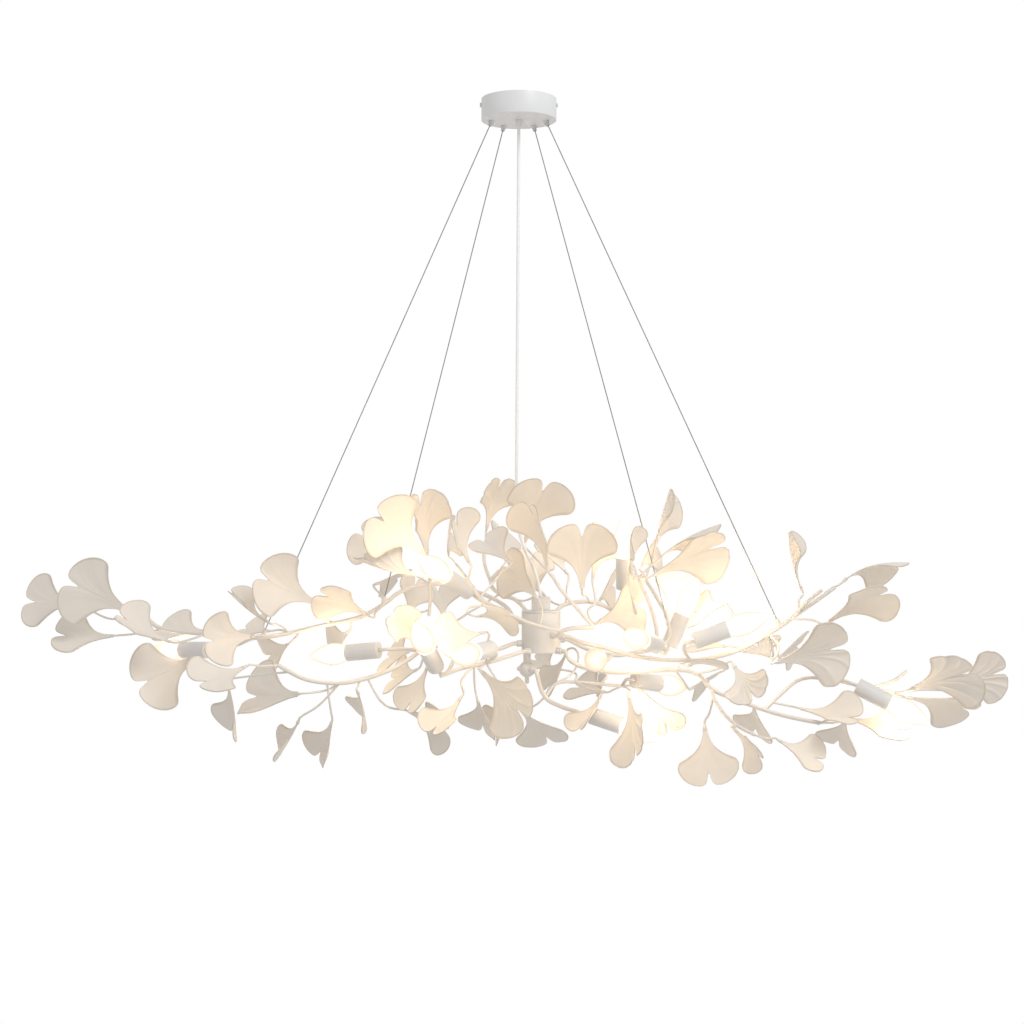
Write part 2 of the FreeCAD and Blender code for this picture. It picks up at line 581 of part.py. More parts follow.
            Leaf("large", (629, 697), (635, 756), -.42, 1, 66, SOFT, 10, ((622, 686), (627, 688, -.10), (630, 692, -.34))),
            Leaf("small", (648, 697), (672, 734), -.32, -1, 28, SOFT, 10, ((622, 686), (632, 686, -.06), (643, 691, -.26))),
            Leaf("small", (600, 697), (578, 730), -.20, 1, 70, CUP, 15, ((575, 682), (592, 690, -.08))),
            Leaf("small", (604, 692), (573, 686), .22, -1, 50, SOFT, 10, ((622, 686), (613, 690, .14))),
            Leaf("small", (606, 676), (598, 672), .22, -1, 0, SOFT, 10, ((600, 684), (604, 680, .12))),
            Leaf("small", (552, 668), (532, 658), .36, -1, 40, SOFT, 10, ((575, 682), (573, 672, .26))),
        ),
        lamps=(
            Lamp((592, 716), (622, 726), -.20, 1, ((578, 712),)),
            Lamp((635, 680), (660, 684), .0, -1, ((622, 686), (626, 680, .04))),
        ),
    ),
}

# Where each steel wire is held: sign of its side, outer or inner grip, limb it lifts, and the place on that limb
Wire = namedtuple("Wire", "side ring limb column row")
WIRES = (
    Wire(-1, "outer", "upper_left", 262.0, 637.0),
    Wire(-1, "inner", "upper_left", 383.0, 604.5),
    Wire(1, "inner", "right_cluster", 667.0, 618.0),
    Wire(1, "outer", "upper_right", 780.0, 626.4),
)
CORD_ROUTE_PX = ((516.6, 480, 0), (516, 532, 0), (541, 582, 0))


def linked(text):
    """Return an expression of size names with each name pointed at the sheet."""
    return re.sub(r"[a-z][a-z_]+", lambda word: "Sizes." + word[0] if word[0] in SIZES else word[0], text)


def worth(text):
    """Return the value that an expression of size names has now."""
    return float(sheet.evalExpression(linked(text)))


def bind(thing, **expressions):
    """Bind properties of a document object to expressions of size names."""
    for name, text in expressions.items():
        thing.setExpression(name, linked(text))
    return thing


def cylinder(name, radius, height, at=None, turn=None):
    """Add a cylinder whose radius and height follow the sheet."""
    thing = doc.addObject("Part::Cylinder", name)
    bind(thing, Radius=radius, Height=height)
    thing.Placement = Placement(at or Vector(), turn or Rotation())
    return thing


def box(name, length, width, height, x=None, y=None, z=None):
    """Add a box whose sides and corner follow the sheet."""
    thing = doc.addObject("Part::Box", name)
    bind(thing, Length=length, Width=width, Height=height)
    for axis, text in (("x", x), ("y", y), ("z", z)):
        if text:
            thing.setExpression("Placement.Base." + axis, linked(text))
    return thing


def cut(name, base, tool):
    """Add the base with the tool taken away."""
    thing = doc.addObject("Part::Cut", name)
    thing.Base, thing.Tool = base, tool
    return thing


def fuse(name, pieces):
    """Add the pieces joined as one."""
    thing = doc.addObject("Part::MultiFuse", name)
    thing.Shapes = pieces
    return thing


def together(name, pieces):
    """Add separate pieces as one group."""
    thing = doc.addObject("Part::Compound", name)
    thing.Links = pieces
    return thing


def set_piece(name, shape):
    """Add a piece whose shape this file works out."""
    thing = doc.addObject("Part::Feature", name)
    thing.Shape = shape
    return thing


def turned_copy(shape, name, foot, way):
    """Add a copy of a turned shape with its foot at a point and its axis along a direction."""
    piece = set_piece(name, shape.copy())
    piece.Placement = Placement(foot, Rotation(Vector(0, 0, 1), way))
    return piece


# Ceiling fitting: bracket, canopy, side screws, terminal block and cord gland
def ceiling_bracket():
    """Add the slotted steel bracket with a threaded ear at each end."""
    reach = "sqrt((canopy_radius - canopy_wall)^2 - bracket_width^2 / 4) - fit_clearance"
    plate = box("bracket_flat", f"2 * ({reach})", "bracket_width", "bracket_plate",
                f"-({reach})", "-bracket_width / 2", "-bracket_plate")
    tools, pieces = [], [plate]
    for side, word in ((-1, "left"), (1, "right")):
        corner = f"-({reach})" if side < 0 else f"{reach} - bracket_plate"
        pieces.append(box(f"bracket_ear_{word}", "bracket_plate", "bracket_width", "bracket_ear_height",
                          corner, "-bracket_width / 2", "-bracket_ear_height"))
        middle = f"{side} * slot_pitch / 2"
        straight = "(slot_length - slot_width)"
        tools.append(box(f"slot_{word}_middle", straight, "slot_width", "3 * bracket_plate",
                         f"{middle} - {straight} / 2", "-slot_width / 2", "-2 * bracket_plate"))
        for end in (-1, 1):
            hole = cylinder(f"slot_{word}_end_{end + 2}", "slot_width / 2", "3 * bracket_plate")
            hole.setExpression("Placement.Base.x", linked(f"{middle} + {end} * {straight} / 2"))
            hole.setExpression("Placement.Base.z", linked("-2 * bracket_plate"))
            tools.append(hole)
        seat = Vector(side * worth(reach), 0, -size("canopy_screw_drop"))
        thread = hole_along(seat, Vector(side, 0, 0), size("screw_thread_radius") + size("fit_clearance") / 2,
                            SIDES["screw"], size("bracket_plate"))
        tools.append(set_piece(f"ear_thread_{word}", thread))
    return cut("ceiling_bracket", fuse("bracket_steel", pieces), fuse("bracket_holes", tools))


def grip_axis(wire):
    """Return where a wire crosses the canopy's underside and the way up along it."""
    offset = size(wire.ring + "_grip_offset") * wire.side
    setback = size("inner_grip_setback") if wire.ring == "inner" else 0.0
    seat = Vector(offset, setback, -size("canopy_height"))
    return seat, (seat - anchor(wire)).normalize()


def anchor(wire):
    """Return the place on a limb's middle line where a wire's lug stands."""
    return photo_point(*on_bars(GROUPS[wire.limb], wire.column, wire.row))


def canopy_cup():
    """Add the pressed canopy with its holes for the grips, the gland and the side screws."""
    outline = (
        ("0", "-canopy_height"),
        ("canopy_radius - canopy_edge_round", "-canopy_height"),
        ("canopy_radius", "-canopy_height + canopy_edge_round"),
        ("canopy_radius", "-canopy_slack"),
        ("canopy_radius - canopy_wall", "-canopy_slack"),
        ("canopy_radius - canopy_wall", "-canopy_height + canopy_wall"),
        ("0", "-canopy_height + canopy_wall"),
    )
    cup = faceted(worked(outline), SIDES["canopy"])
    floor = Vector(0, 0, -size("canopy_height"))
    tools = [hole_along(floor, Vector(0, 0, 1), size("gland_thread_radius") + size("fit_clearance"),
                        SIDES["gland"], size("canopy_wall"))]
    for side in (-1, 1):
        out = Vector(side, 0, 0)
        seat = out * size("canopy_radius") + Vector(0, 0, -size("canopy_screw_drop"))
        tools.append(hole_along(seat, out, size("screw_thread_radius") + size("fit_clearance"),
                                SIDES["screw"], size("canopy_wall")))
    for wire in WIRES:
        seat, up = grip_axis(wire)
        tools.append(hole_along(seat, up, size("grip_neck_radius") + size("fit_clearance"),
                                SIDES["grip"], size("canopy_wall")))
    return set_piece("canopy_cup", cup.cut(tools))


# How many wall thicknesses a hole's tool, or a screw, reaches through
TOOL_WALLS, SCREW_WALLS = 4, 3


def hole_along(seat, way, radius, sides, wall):
    """Return the tool that cuts a many-sided hole through a wall at its seat."""
    reach = TOOL_WALLS * wall
    tool = faceted([(0, -reach), (radius, -reach), (radius, reach), (0, reach)], sides)
    tool.Placement = Placement(seat, Rotation(Vector(0, 0, 1), way))
    return tool


def canopy_screws():
    """Add the two side screws that hold the canopy to the bracket's ears."""
    shank, head = size("screw_thread_radius"), size("screw_head_radius")
    gap = size("fit_clearance")
    reach = SCREW_WALLS * size("bracket_plate")
    outline = [(0, -reach), (shank, -reach), (shank, gap), (head, gap),
               (head, gap + size("screw_head_height")), (0, gap + size("screw_head_height"))]
    screws = []
    for side, word in ((-1, "left"), (1, "right")):
        seat = Vector(side * size("canopy_radius"), 0, -size("canopy_screw_drop"))
        screws.append(turned_copy(faceted(outline, SIDES["screw"]), f"canopy_screw_{word}", seat, Vector(side, 0, 0)))
    return together("canopy_screws", screws)


def terminal_block():
    """Add the terminal block under the bracket, with its three wire holes."""
    block = box("terminal_blank", "terminal_length", "terminal_width", "terminal_height",
                "-terminal_length / 2", "-terminal_width / 2", "-bracket_plate - terminal_height")
    holes = []
    for i in (-1, 0, 1):
        holes.append(box(f"terminal_hole_{i + 2}", "2 * terminal_hole_radius", "2 * terminal_width",
                         "2 * terminal_hole_radius", f"{i} * terminal_length / 3 - terminal_hole_radius",
                         "-terminal_width", "-bracket_plate - terminal_height / 2 - terminal_hole_radius"))
    return cut("terminal_block", block, fuse("terminal_holes", holes))


def cord_gland():
    """Add the cord gland: collar under the canopy, thread through it."""
    bore = "cord_radius + cord_clearance"
    outline = (
        (bore, "-canopy_height - gland_height"),
        ("gland_radius", "-canopy_height - gland_height"),
        ("gland_radius + canopy_wall", "-canopy_height"),
        ("gland_thread_radius", "-canopy_height"),
        ("gland_thread_radius", "-canopy_height + canopy_wall + gland_nut_height"),
        (bore, "-canopy_height + canopy_wall + gland_nut_height"),
    )
    return set_piece("cord_gland", faceted(worked(outline), SIDES["gland"]))


def gland_nut():
    """Add the nut that clamps the gland inside the canopy."""
    low = -size("canopy_height") + size("canopy_wall")
    high = low + size("gland_nut_height")
    blank = faceted([(0, low), (size("gland_nut_radius"), low), (size("gland_nut_radius"), high), (0, high)],
                    SIDES["nut"])
    bore = size("gland_thread_radius") + size("fit_clearance")
    hole = faceted([(0, low * 2), (bore, low * 2), (bore, 0), (0, 0)], SIDES["gland"])
    return set_piece("gland_nut", blank.cut(hole))


def grip_body():
    """Return the turned form of a wire grip: neck through the canopy, body above, stepped bore."""
    step = "plunger_length - grip_neck_height / 2 + plunger_travel + fit_clearance"
    outline = (
        ("plunger_radius + fit_clearance", "-grip_neck_height / 2"),
        ("grip_neck_radius", "-grip_neck_height / 2"),
        ("grip_neck_radius", "grip_neck_height / 2"),
        ("grip_radius", "grip_neck_height / 2"),
        ("grip_radius", "grip_neck_height / 2 + grip_height"),
        ("plunger_bore_radius", "grip_neck_height / 2 + grip_height"),
        ("plunger_bore_radius", step),
        ("plunger_radius + fit_clearance", step),
    )
    return faceted(worked(outline), SIDES["grip"])


def plunger_form():
    """Return the turned form of a grip's release plunger."""
    low = "-grip_neck_height"
    outline = (
        ("plunger_bore_radius", low),
        ("plunger_radius", low),
        ("plunger_radius", f"{low} + plunger_length"),
        ("plunger_bore_radius", f"{low} + plunger_length"),
    )
    return faceted(worked(outline), SIDES["grip"])


def wire_end(wire):
    """Return where a wire's lower end stands in its lug, and the way up along the wire."""
    seat, up = grip_axis(wire)
    return anchor(wire) + up * (size("lug_length") - size("lug_radius") * 2 + size("fit_clearance")), up


def hung_wires():
    """Add the grips, their plungers and the four straight steel wires."""
    body, plunger = grip_body(), plunger_form()
    grips, plungers, wires = [], [], []
    for i, wire in enumerate(WIRES, start=1):
        seat, up = grip_axis(wire)
        grips.append(turned_copy(body, f"wire_grip_{i}", seat, up))
        plungers.append(turned_copy(plunger, f"grip_plunger_{i}", seat, up))
        end, up = wire_end(wire)
        top = seat + up * (size("grip_neck_height") / 2 + size("grip_height") + size("wire_tail"))
        wires.append(set_piece(f"wire_{i}", bar([end, top], size("wire_radius"), SIDES["wire"])))
    return [together("wire_grips", grips), together("suspension_wires", wires)] + plungers


# Hub: drum with a boss for each limb, cap with the cord neck, rod and ball
def hub_axis(row):
    """Return the point of the hub's axis at a picture row."""
    return photo_point(HUB_COLUMN_PX, row, 0)


def boss_way(group):
    """Return the level direction in which a limb leaves the hub."""
    turn = math.radians(group.boss[0])
    return Vector(math.cos(turn), math.sin(turn), 0)


def boss_root(group):
    """Return the middle of the piece that carries a limb's boss, and how far out its side is."""
    if group is GROUPS["bottom"]:
        return ball_middle(), size("ball_radius")
    middle = hub_axis(group.boss[1])
    return middle, size("hub_radius")


def boss_end(group):
    """Return the flat outer end of a limb's boss."""
    middle, side = boss_root(group)
    return middle + boss_way(group) * (side + size("boss_length"))


def boss(group):
    """Return a limb's boss, from inside the wall that carries it to its flat end."""
    middle, side = boss_root(group)
    way = boss_way(group)
    inside = 0.0 if group is GROUPS["bottom"] else side - size("hub_wall") / 2
    return bar([middle + way * inside, boss_end(group)], size("boss_radius"), SIDES["boss"])


def ball_middle():
    """Return the middle of the ball under the hub."""
    drum_foot = hub_axis(HUB_TOP_PX).z - size("hub_height")
    foot = photo_point(ROD_COLUMN_PX, HUB_TOP_PX, 0)
    return Vector(foot.x, 0, drum_foot - size("hub_rod_length") + size("ball_radius") / 2)


def hub_drum():
    """Add the hub's drum, open at the top, with the bosses welded to its side."""
    outline = (
        ("0", "-hub_height"),
        ("hub_radius", "-hub_height"),
        ("hub_radius", "0"),
        ("hub_radius - hub_wall", "0"),
        ("hub_radius - hub_wall", "-hub_height + hub_wall"),
        ("0", "-hub_height + hub_wall"),
    )
    shape = faceted(worked(outline), SIDES["hub"])
    shape.translate(hub_axis(HUB_TOP_PX))
    bosses = [boss(group) for name, group in GROUPS.items() if name != "bottom"]
    return set_piece("hub_drum", shape.multiFuse(bosses).removeSplitter())


def hub_cap():
    """Add the cap that closes the drum, with the cord neck and the hole for its set screw."""
    bore = "cord_radius + 2 * fit_clearance"
    outline = (
        (bore, "0"),
        ("hub_radius", "0"),
        ("hub_radius", "hub_plate"),
        ("hub_neck_radius", "hub_plate"),
        ("hub_neck_radius", "hub_plate + hub_neck_height"),
        (bore, "hub_plate + hub_neck_height"),
    )
    shape = faceted(worked(outline), SIDES["hub"])
    shape.translate(hub_axis(HUB_TOP_PX))
    seat, turn = set_screw_seat()
    depth = size("set_screw_length")
    radius = size("set_screw_radius") + size("fit_clearance")
    hole = faceted([(0, -depth), (radius, -depth), (radius, depth), (0, depth)], SIDES["screw"])
    hole.Placement = Placement(seat, turn)
    return set_piece("hub_cap", shape.cut(hole))


def set_screw_seat():
    """Return where the set screw's head end stands on the neck's front, and its turn."""
    height = size("hub_plate") + size("hub_neck_height") / 2
    seat = hub_axis(HUB_TOP_PX) + Vector(0, -size("hub_neck_radius"), height)
    return seat, Rotation(Vector(0, 0, 1), Vector(0, -1, 0))


def hub_set_screw():
    """Add the set screw that clamps the cord in the neck, sunk a little in its hole."""
    seat, turn = set_screw_seat()
    radius, inner = size("set_screw_radius"), -size("set_screw_length") + size("fit_clearance")
    screw = faceted([(0, inner), (radius, inner), (radius, -size("hub_wall")), (0, -size("hub_wall"))], SIDES["screw"])
    screw.Placement = Placement(seat, turn)
    return set_piece("hub_set_screw", screw)


BALL_SHARES = ((0.27, -0.96), (0.80, -0.60), (1.0, 0.0), (0.80, 0.60))


def hub_rod_and_ball():
    """Add the rod, ball and finial under the drum, with the boss of the lower limb."""
    middle = ball_middle()
    drum_foot = hub_axis(HUB_TOP_PX).z - size("hub_height")
    rise = drum_foot - middle.z
    ball = size("ball_radius")
    profile = [(0, -ball - size("finial_length")), (size("finial_radius"), -ball - size("finial_length"))]
    profile += [(radius * ball, height * ball) for radius, height in BALL_SHARES]
    profile += [(size("hub_rod_radius"), ball), (size("hub_rod_radius"), rise), (0, rise)]
    shape = faceted(profile, SIDES["rod"])
    shape.translate(middle)
    return set_piece("hub_rod", shape.fuse(boss(GROUPS["bottom"])).removeSplitter())


def power_cord():
    """Add the power cord, straight down from the terminal block and in an easy bend to the hub's neck."""
    top = Vector(0, 0, -size("bracket_plate") - size("terminal_height") - size("wire_tail") / 4)
    neck = hub_axis(HUB_TOP_PX) + Vector(0, 0, size("hub_plate") + size("hub_neck_height"))
    points = [top] + [photo_point(*p) for p in CORD_ROUTE_PX]
    points.append(neck - Vector(0, 0, size("hub_neck_height") / 2))
    return set_piece("power_cord", bar(eased(points), size("cord_radius"), SIDES["cord"]))


ARC_STEPS = 4
ARC_REACH_SHARE = 0.45


def eased(points):
    """Return a route whose corners are eased by tangent arcs, each as large as its two runs allow."""
    route = [points[0]]
    for before, corner, after in zip(points, points[1:], points[2:]):
        way_in, way_out = (corner - before).normalize(), (after - corner).normalize()
        turn = way_in.getAngle(way_out)
        reach = ARC_REACH_SHARE * min((corner - before).Length, (after - corner).Length)
        arc_radius = reach / math.tan(turn / 2)
        inward = (way_out - way_in).normalize()
        middle = corner + inward * (arc_radius / math.cos(turn / 2))
        spoke = corner - way_in * reach - middle
        axis = way_in.cross(way_out)
        for step in range(ARC_STEPS + 1):
            route.append(middle + Rotation(axis, math.degrees(turn) * step / ARC_STEPS).multVec(spoke))
    return route + [points[-1]]


# Limbs: welded bars, twigs and ferrules, with the leaves and lamps that they carry


def on_bars(group, column, row):
    """Return the picture place and depth share of the point of a limb's bars nearest to a picture place."""
    best = None
    for limb in group.bars:
        for (c0, r0, d0), (c1, r1, d1) in zip(limb.route, limb.route[1:]):
            span = (c1 - c0) ** 2 + (r1 - r0) ** 2
            part = ((column - c0) * (c1 - c0) + (row - r0) * (r1 - r0)) / span
            part = min(max(part, 0.0), 1.0)
            spot = (c0 + part * (c1 - c0), r0 + part * (r1 - r0), d0 + part * (d1 - d0))
            gap = math.hypot(spot[0] - column, spot[1] - row)
            if best is None or gap < best[0]:
                best = (gap, spot)
    return best[1]


def stem_points(group, stem):
    """Return a stem's points: the first on a bar, the rest as drawn."""
    first = on_bars(group, *stem[0][:2])
    return [photo_point(*first)] + [photo_point(*p) for p in stem[1:]]


def leaf_stem(group, place):
    """Return the twig that carries a leaf, widened to a ferrule where the leaf's neck meets it."""
    root = place.base - place.along * size("ferrule_length")
    points = stem_points(group, place.leaf.stem) + [root, place.base]
    return bar(points, size("twig_radius"), SIDES["twig"], size("ferrule_radius"))


class LampPlace:
    """Where a lamp holder sits: its back, and the way that its bulb points."""

    def __init__(self, lamp):
        self.lamp = lamp
        self.back = photo_point(*lamp.back, lamp.depth)
        length = size("sleeve_length")
        shown = (photo_point(*lamp.mouth, lamp.depth) - self.back).Length
        hidden = math.sqrt(max(length * length - shown * shown, 0.0))
        share = lamp.depth - lamp.toward * hidden / size("half_depth")
        self.way = (photo_point(*lamp.mouth, share) - self.back).normalize()

    def stem(self, group):
        """Return the tube that carries the lamp holder, ending square on its back."""
        root = self.back - self.way * size("ferrule_length")
        return bar(stem_points(group, self.lamp.stem) + [root, self.back], size("limb_radius"), SIDES["limb"])


def lug(wire):
    """Return the lug that holds a wire's lower end, with its blind bore."""
    seat, up = grip_axis(wire)
    foot = anchor(wire)
    post = bar([foot, foot + up * size("lug_length")], size("lug_radius"), SIDES["lug"])
    floor = foot + up * (size("lug_length") - size("lug_radius") * 2)
    bore = bar([floor, floor + up * size("lug_length")], size("wire_radius") + size("fit_clearance"), SIDES["wire"])
    return post, bore


def limb_weldment(name, group):
    """Add a limb: its bars, twigs, ferrules and wire lugs welded into one piece that ends flat on its boss."""
    pieces = []
    for i, limb in enumerate(group.bars):
        points = [photo_point(*p) for p in limb.route]
        if i == 0:
            points = [boss_end(group), boss_end(group) + boss_way(group) * size("boss_length") / 2] + points
        pieces.append(bar(points, size(limb.radius + "_radius"), SIDES[limb.radius]))
    for leaf in group.leaves:
        pieces.append(leaf_stem(group, LeafPlace(leaf)))
    for lamp in group.lamps:
        pieces.append(LampPlace(lamp).stem(group))
    bores = []
    for wire in WIRES:
        if wire.limb == name:
            post, bore = lug(wire)
            pieces.append(post)
            bores.append(bore)
    welded = pieces[0].multiFuse(pieces[1:])
    for bore in bores:
        welded = welded.cut(bore)
    return set_piece("branch_" + name, welded)


def leaf_group(name, group):
    """Add the cast leaves of one limb."""
    shapes = [LeafPlace(leaf).solid() for leaf in group.leaves]
    return set_piece("leaves_" + name, Part.makeCompound(shapes))


def sleeve_form():
    """Return the turned form of a lamp holder's outer sleeve, closed at the back."""
    inner = "sleeve_radius - sleeve_wall"
    outline = (
        ("0", "0"),
        ("sleeve_radius", "0"),
        ("sleeve_radius", "sleeve_length"),
        (inner, "sleeve_length"),
        (inner, "sleeve_back"),
        ("0", "sleeve_back"),
    )
    return faceted(worked(outline), SIDES["lamp"])


def socket_form():
    """Return the turned form of the threaded socket inside a sleeve."""
    bore = "bulb_cap_radius + bulb_clearance"
    half_side = math.degrees(math.pi / SIDES["socket"])
    across = f"(sleeve_radius - sleeve_wall - fit_clearance) * cos({half_side})"
    outline = (
        ("0", "sleeve_back"),
        (across, "sleeve_back"),
        (across, "sleeve_back + socket_length"),
        (bore, "sleeve_back + socket_length"),
        (bore, "sleeve_back + socket_length - bulb_cap_length - bulb_clearance"),
        ("0", "sleeve_back + socket_length - bulb_cap_length - bulb_clearance"),
    )
    return faceted(worked(outline), SIDES["socket"])


def bulb_form():
    """Return the turned form of a candle bulb: screw cap, swelling glass and tip."""
    seat = "sleeve_back + socket_length + bulb_clearance"
    outline = (
        ("0", f"{seat} - bulb_cap_length"),
        ("bulb_cap_radius", f"{seat} - bulb_cap_length"),
        ("bulb_cap_radius", seat),
        ("bulb_neck_radius", seat),
        ("bulb_radius", f"{seat} + glass_length * bulb_widest_share"),
        ("bulb_radius * bulb_shoulder_share", f"{seat} + glass_length * bulb_taper_share"),
        ("bulb_tip_radius", f"{seat} + glass_length"),
        ("0", f"{seat} + glass_length"),
    )
    return faceted(worked(outline), SIDES["bulb"])


def lamps():
    """Add every lamp: sleeves, sockets and, one by one, the bulbs."""
    forms = sleeve_form(), socket_form(), bulb_form()
    sleeves, sockets, bulbs = [], [], []
    for group in GROUPS.values():
        for lamp in group.lamps:
            place = LampPlace(lamp)
            number = len(bulbs) + 1
            sleeves.append(turned_copy(forms[0], f"sleeve_{number}", place.back, place.way))
            sockets.append(turned_copy(forms[1], f"socket_{number}", place.back, place.way))
            bulbs.append(turned_copy(forms[2], f"bulb_{number}", place.back, place.way))
    return [together("lamp_sleeves", sleeves), together("lamp_sockets", sockets)] + bulbs


def build():
    """Add every piece of the chandelier and return those that are kept."""
    pieces = [ceiling_bracket(), canopy_cup(), canopy_screws(), terminal_block(), cord_gland(), gland_nut()]
    pieces += hung_wires()
    pieces += [power_cord(), hub_drum(), hub_cap(), hub_set_screw(), hub_rod_and_ball()]
    for name, group in GROUPS.items():
        pieces += [limb_weldment(name, group), leaf_group(name, group)]
    return pieces + lamps()


def check(pieces):
    """Stop if any object failed or any piece is empty or not valid."""
    doc.recompute()
    for thing in doc.Objects:
        if "Invalid" in thing.State or "Error" in thing.State:
            raise RuntimeError(f"{thing.Label} is {thing.State}")
    for piece in pieces:
        if piece.Shape.isNull() or not piece.Shape.isValid() or not piece.Shape.Solids:
            raise RuntimeError(f"{piece.Label} has no valid solid")


def export(pieces):
    """Write each piece to its own file."""
    os.makedirs("parts", exist_ok=True)
    for piece in pieces:
        piece.Shape.exportStep(f"parts/{piece.Label}.step")
        print(f"{piece.Label}: {len(piece.Shape.Solids)} solids, {len(piece.Shape.Faces)} faces")


made = build()
check(made)
export(made)
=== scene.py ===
"""The looks of a hanging light of bent white branches, cupped leaves and candle bulbs."""

import logging
import math
from dataclasses import dataclass, field
from enum import Enum
from typing import NamedTuple

import bpy
from mathutils import Matrix, Quaternion, Vector


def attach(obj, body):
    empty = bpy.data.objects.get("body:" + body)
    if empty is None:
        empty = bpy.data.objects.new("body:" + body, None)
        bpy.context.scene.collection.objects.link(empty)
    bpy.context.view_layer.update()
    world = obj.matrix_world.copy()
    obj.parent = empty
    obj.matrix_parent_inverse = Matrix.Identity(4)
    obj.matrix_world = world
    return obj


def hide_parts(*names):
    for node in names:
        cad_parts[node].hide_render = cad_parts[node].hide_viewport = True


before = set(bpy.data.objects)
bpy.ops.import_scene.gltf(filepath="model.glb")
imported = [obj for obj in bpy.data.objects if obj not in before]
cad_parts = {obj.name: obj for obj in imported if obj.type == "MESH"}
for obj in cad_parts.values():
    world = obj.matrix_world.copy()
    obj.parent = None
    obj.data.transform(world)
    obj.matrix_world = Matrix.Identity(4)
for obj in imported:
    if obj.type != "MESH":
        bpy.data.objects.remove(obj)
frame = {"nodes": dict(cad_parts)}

log = logging.getLogger("chandelier")

Triple = tuple[float, float, float]
Pair = tuple[float, float]
Piece = bpy.types.Object
Material = bpy.types.Material
Node = bpy.types.Node
Socket = bpy.types.NodeSocket
Tree = bpy.types.NodeTree

UP, TO_EYE = Vector((0, 0, 1)), Vector((0, -1, 0))
WHITE = (1, 1, 1, 1)

# Lengths shared by several pieces, in metres
BAR_RADII = {"branch": 0.0034, "limb": 0.0027}
CANOPY_HEIGHT = 0.035
CORD_BORE = 0.0031
HOLDER_LENGTH = 0.056
MERGE_GAP = 1e-6

# Edges sharper than the first are rounded, and edges flatter than the others are shaded smooth, in degrees
ROUNDED_FROM, TURNED_SMOOTH, BENT_SMOOTH = 35, 40, 50


# Where things are, read from the picture


@dataclass(frozen=True)
class Picture:
    """How picture columns and rows, with a share of the half depth, stand for places in the room."""

    scale: float = 0.0016
    half_depth: float = 0.25
    width: float = 1024.0
    eye_column: float = 512.0
    eye_row: float = 512.0
    eye_distance_px: float = 1676.0
    canopy_column: float = 518.9
    middle_row: float = 630.0
    drop: float = 0.85

    @property
    def eye(self) -> Vector:
        """Return the place of the eye."""
        return Vector((
            (self.eye_column - self.canopy_column) * self.scale,
            -self.eye_distance_px * self.scale,
            (self.middle_row - self.eye_row) * self.scale - self.drop,
        ))

    def point(self, column: float, row: float, share: float = 0.0) -> Vector:
        """Return the place seen at a picture point.

        Args:
            column: picture column, in pixels.
            row: picture row, in pixels.
            share: place behind the middle, as a share of the half depth.

        Returns:
            The place in the room, in metres.
        """
        depth = share * self.half_depth
        grow = 1 + depth / (self.eye_distance_px * self.scale)
        return Vector((
            self.eye.x + (column - self.eye_column) * self.scale * grow,
            depth,
            self.eye.z + (self.eye_row - row) * self.scale * grow,
        ))

    def tilted(self, near: Pair, far: Pair, depth: float, toward: int, length: float) -> tuple[Vector, Vector, float]:
        """Tilt a straight piece until it shows as long as it is seen.

        Args:
            near: where its start shows.
            far: where its end shows.
            depth: how far back its start is, as a share of the half depth.
            toward: 1 if its end comes towards the eye, -1 if it goes away.
            length: its length, in metres.

        Returns:
            The place of its start, the way that it points and the length that shows.
        """
        start = self.point(*near, depth)
        shown = (self.point(*far, depth) - start).length
        hidden = math.sqrt(max(length * length - shown * shown, 0.0))
        end = self.point(*far, depth - toward * hidden / self.half_depth)
        return start, (end - start).normalized(), shown


PICTURE = Picture()


class Cast(Enum):
    """The three casts that every leaf comes from, by length."""

    SMALL = 0.076
    MEDIUM = 0.092
    LARGE = 0.112


class Curl(NamedTuple):
    """How far each half of a blade curls up, in degrees."""

    left: float
    right: float


FLAT, SOFT, CUP, ROLL, BOAT = Curl(12, 12), Curl(28, 28), Curl(50, 50), Curl(75, 75), Curl(100, 100)


class Leaf(NamedTuple):
    """A leaf: its cast, where its base and tip show, and how its blade turns."""

    cast: Cast
    base: Pair
    tip: Pair
    depth: float
    toward: int
    roll: float
    curl: Curl
    bend: float
    stem: tuple


class Lamp(NamedTuple):
    """A lamp: where its holder's back and mouth show, and the stem that carries it."""

    back: Pair
    mouth: Pair
    depth: float
    toward: int
    stem: tuple


class Limb(NamedTuple):
    """A welded bar: its kind and the places it runs through."""

    kind: str
    route: tuple


class Group(NamedTuple):
    """A limb of the light: its boss on the hub, its bars, its leaves and its lamps."""

    boss: Pair
    bars: tuple
    leaves: tuple
    lamps: tuple


SMALL, MEDIUM, LARGE = Cast.SMALL, Cast.MEDIUM, Cast.LARGE

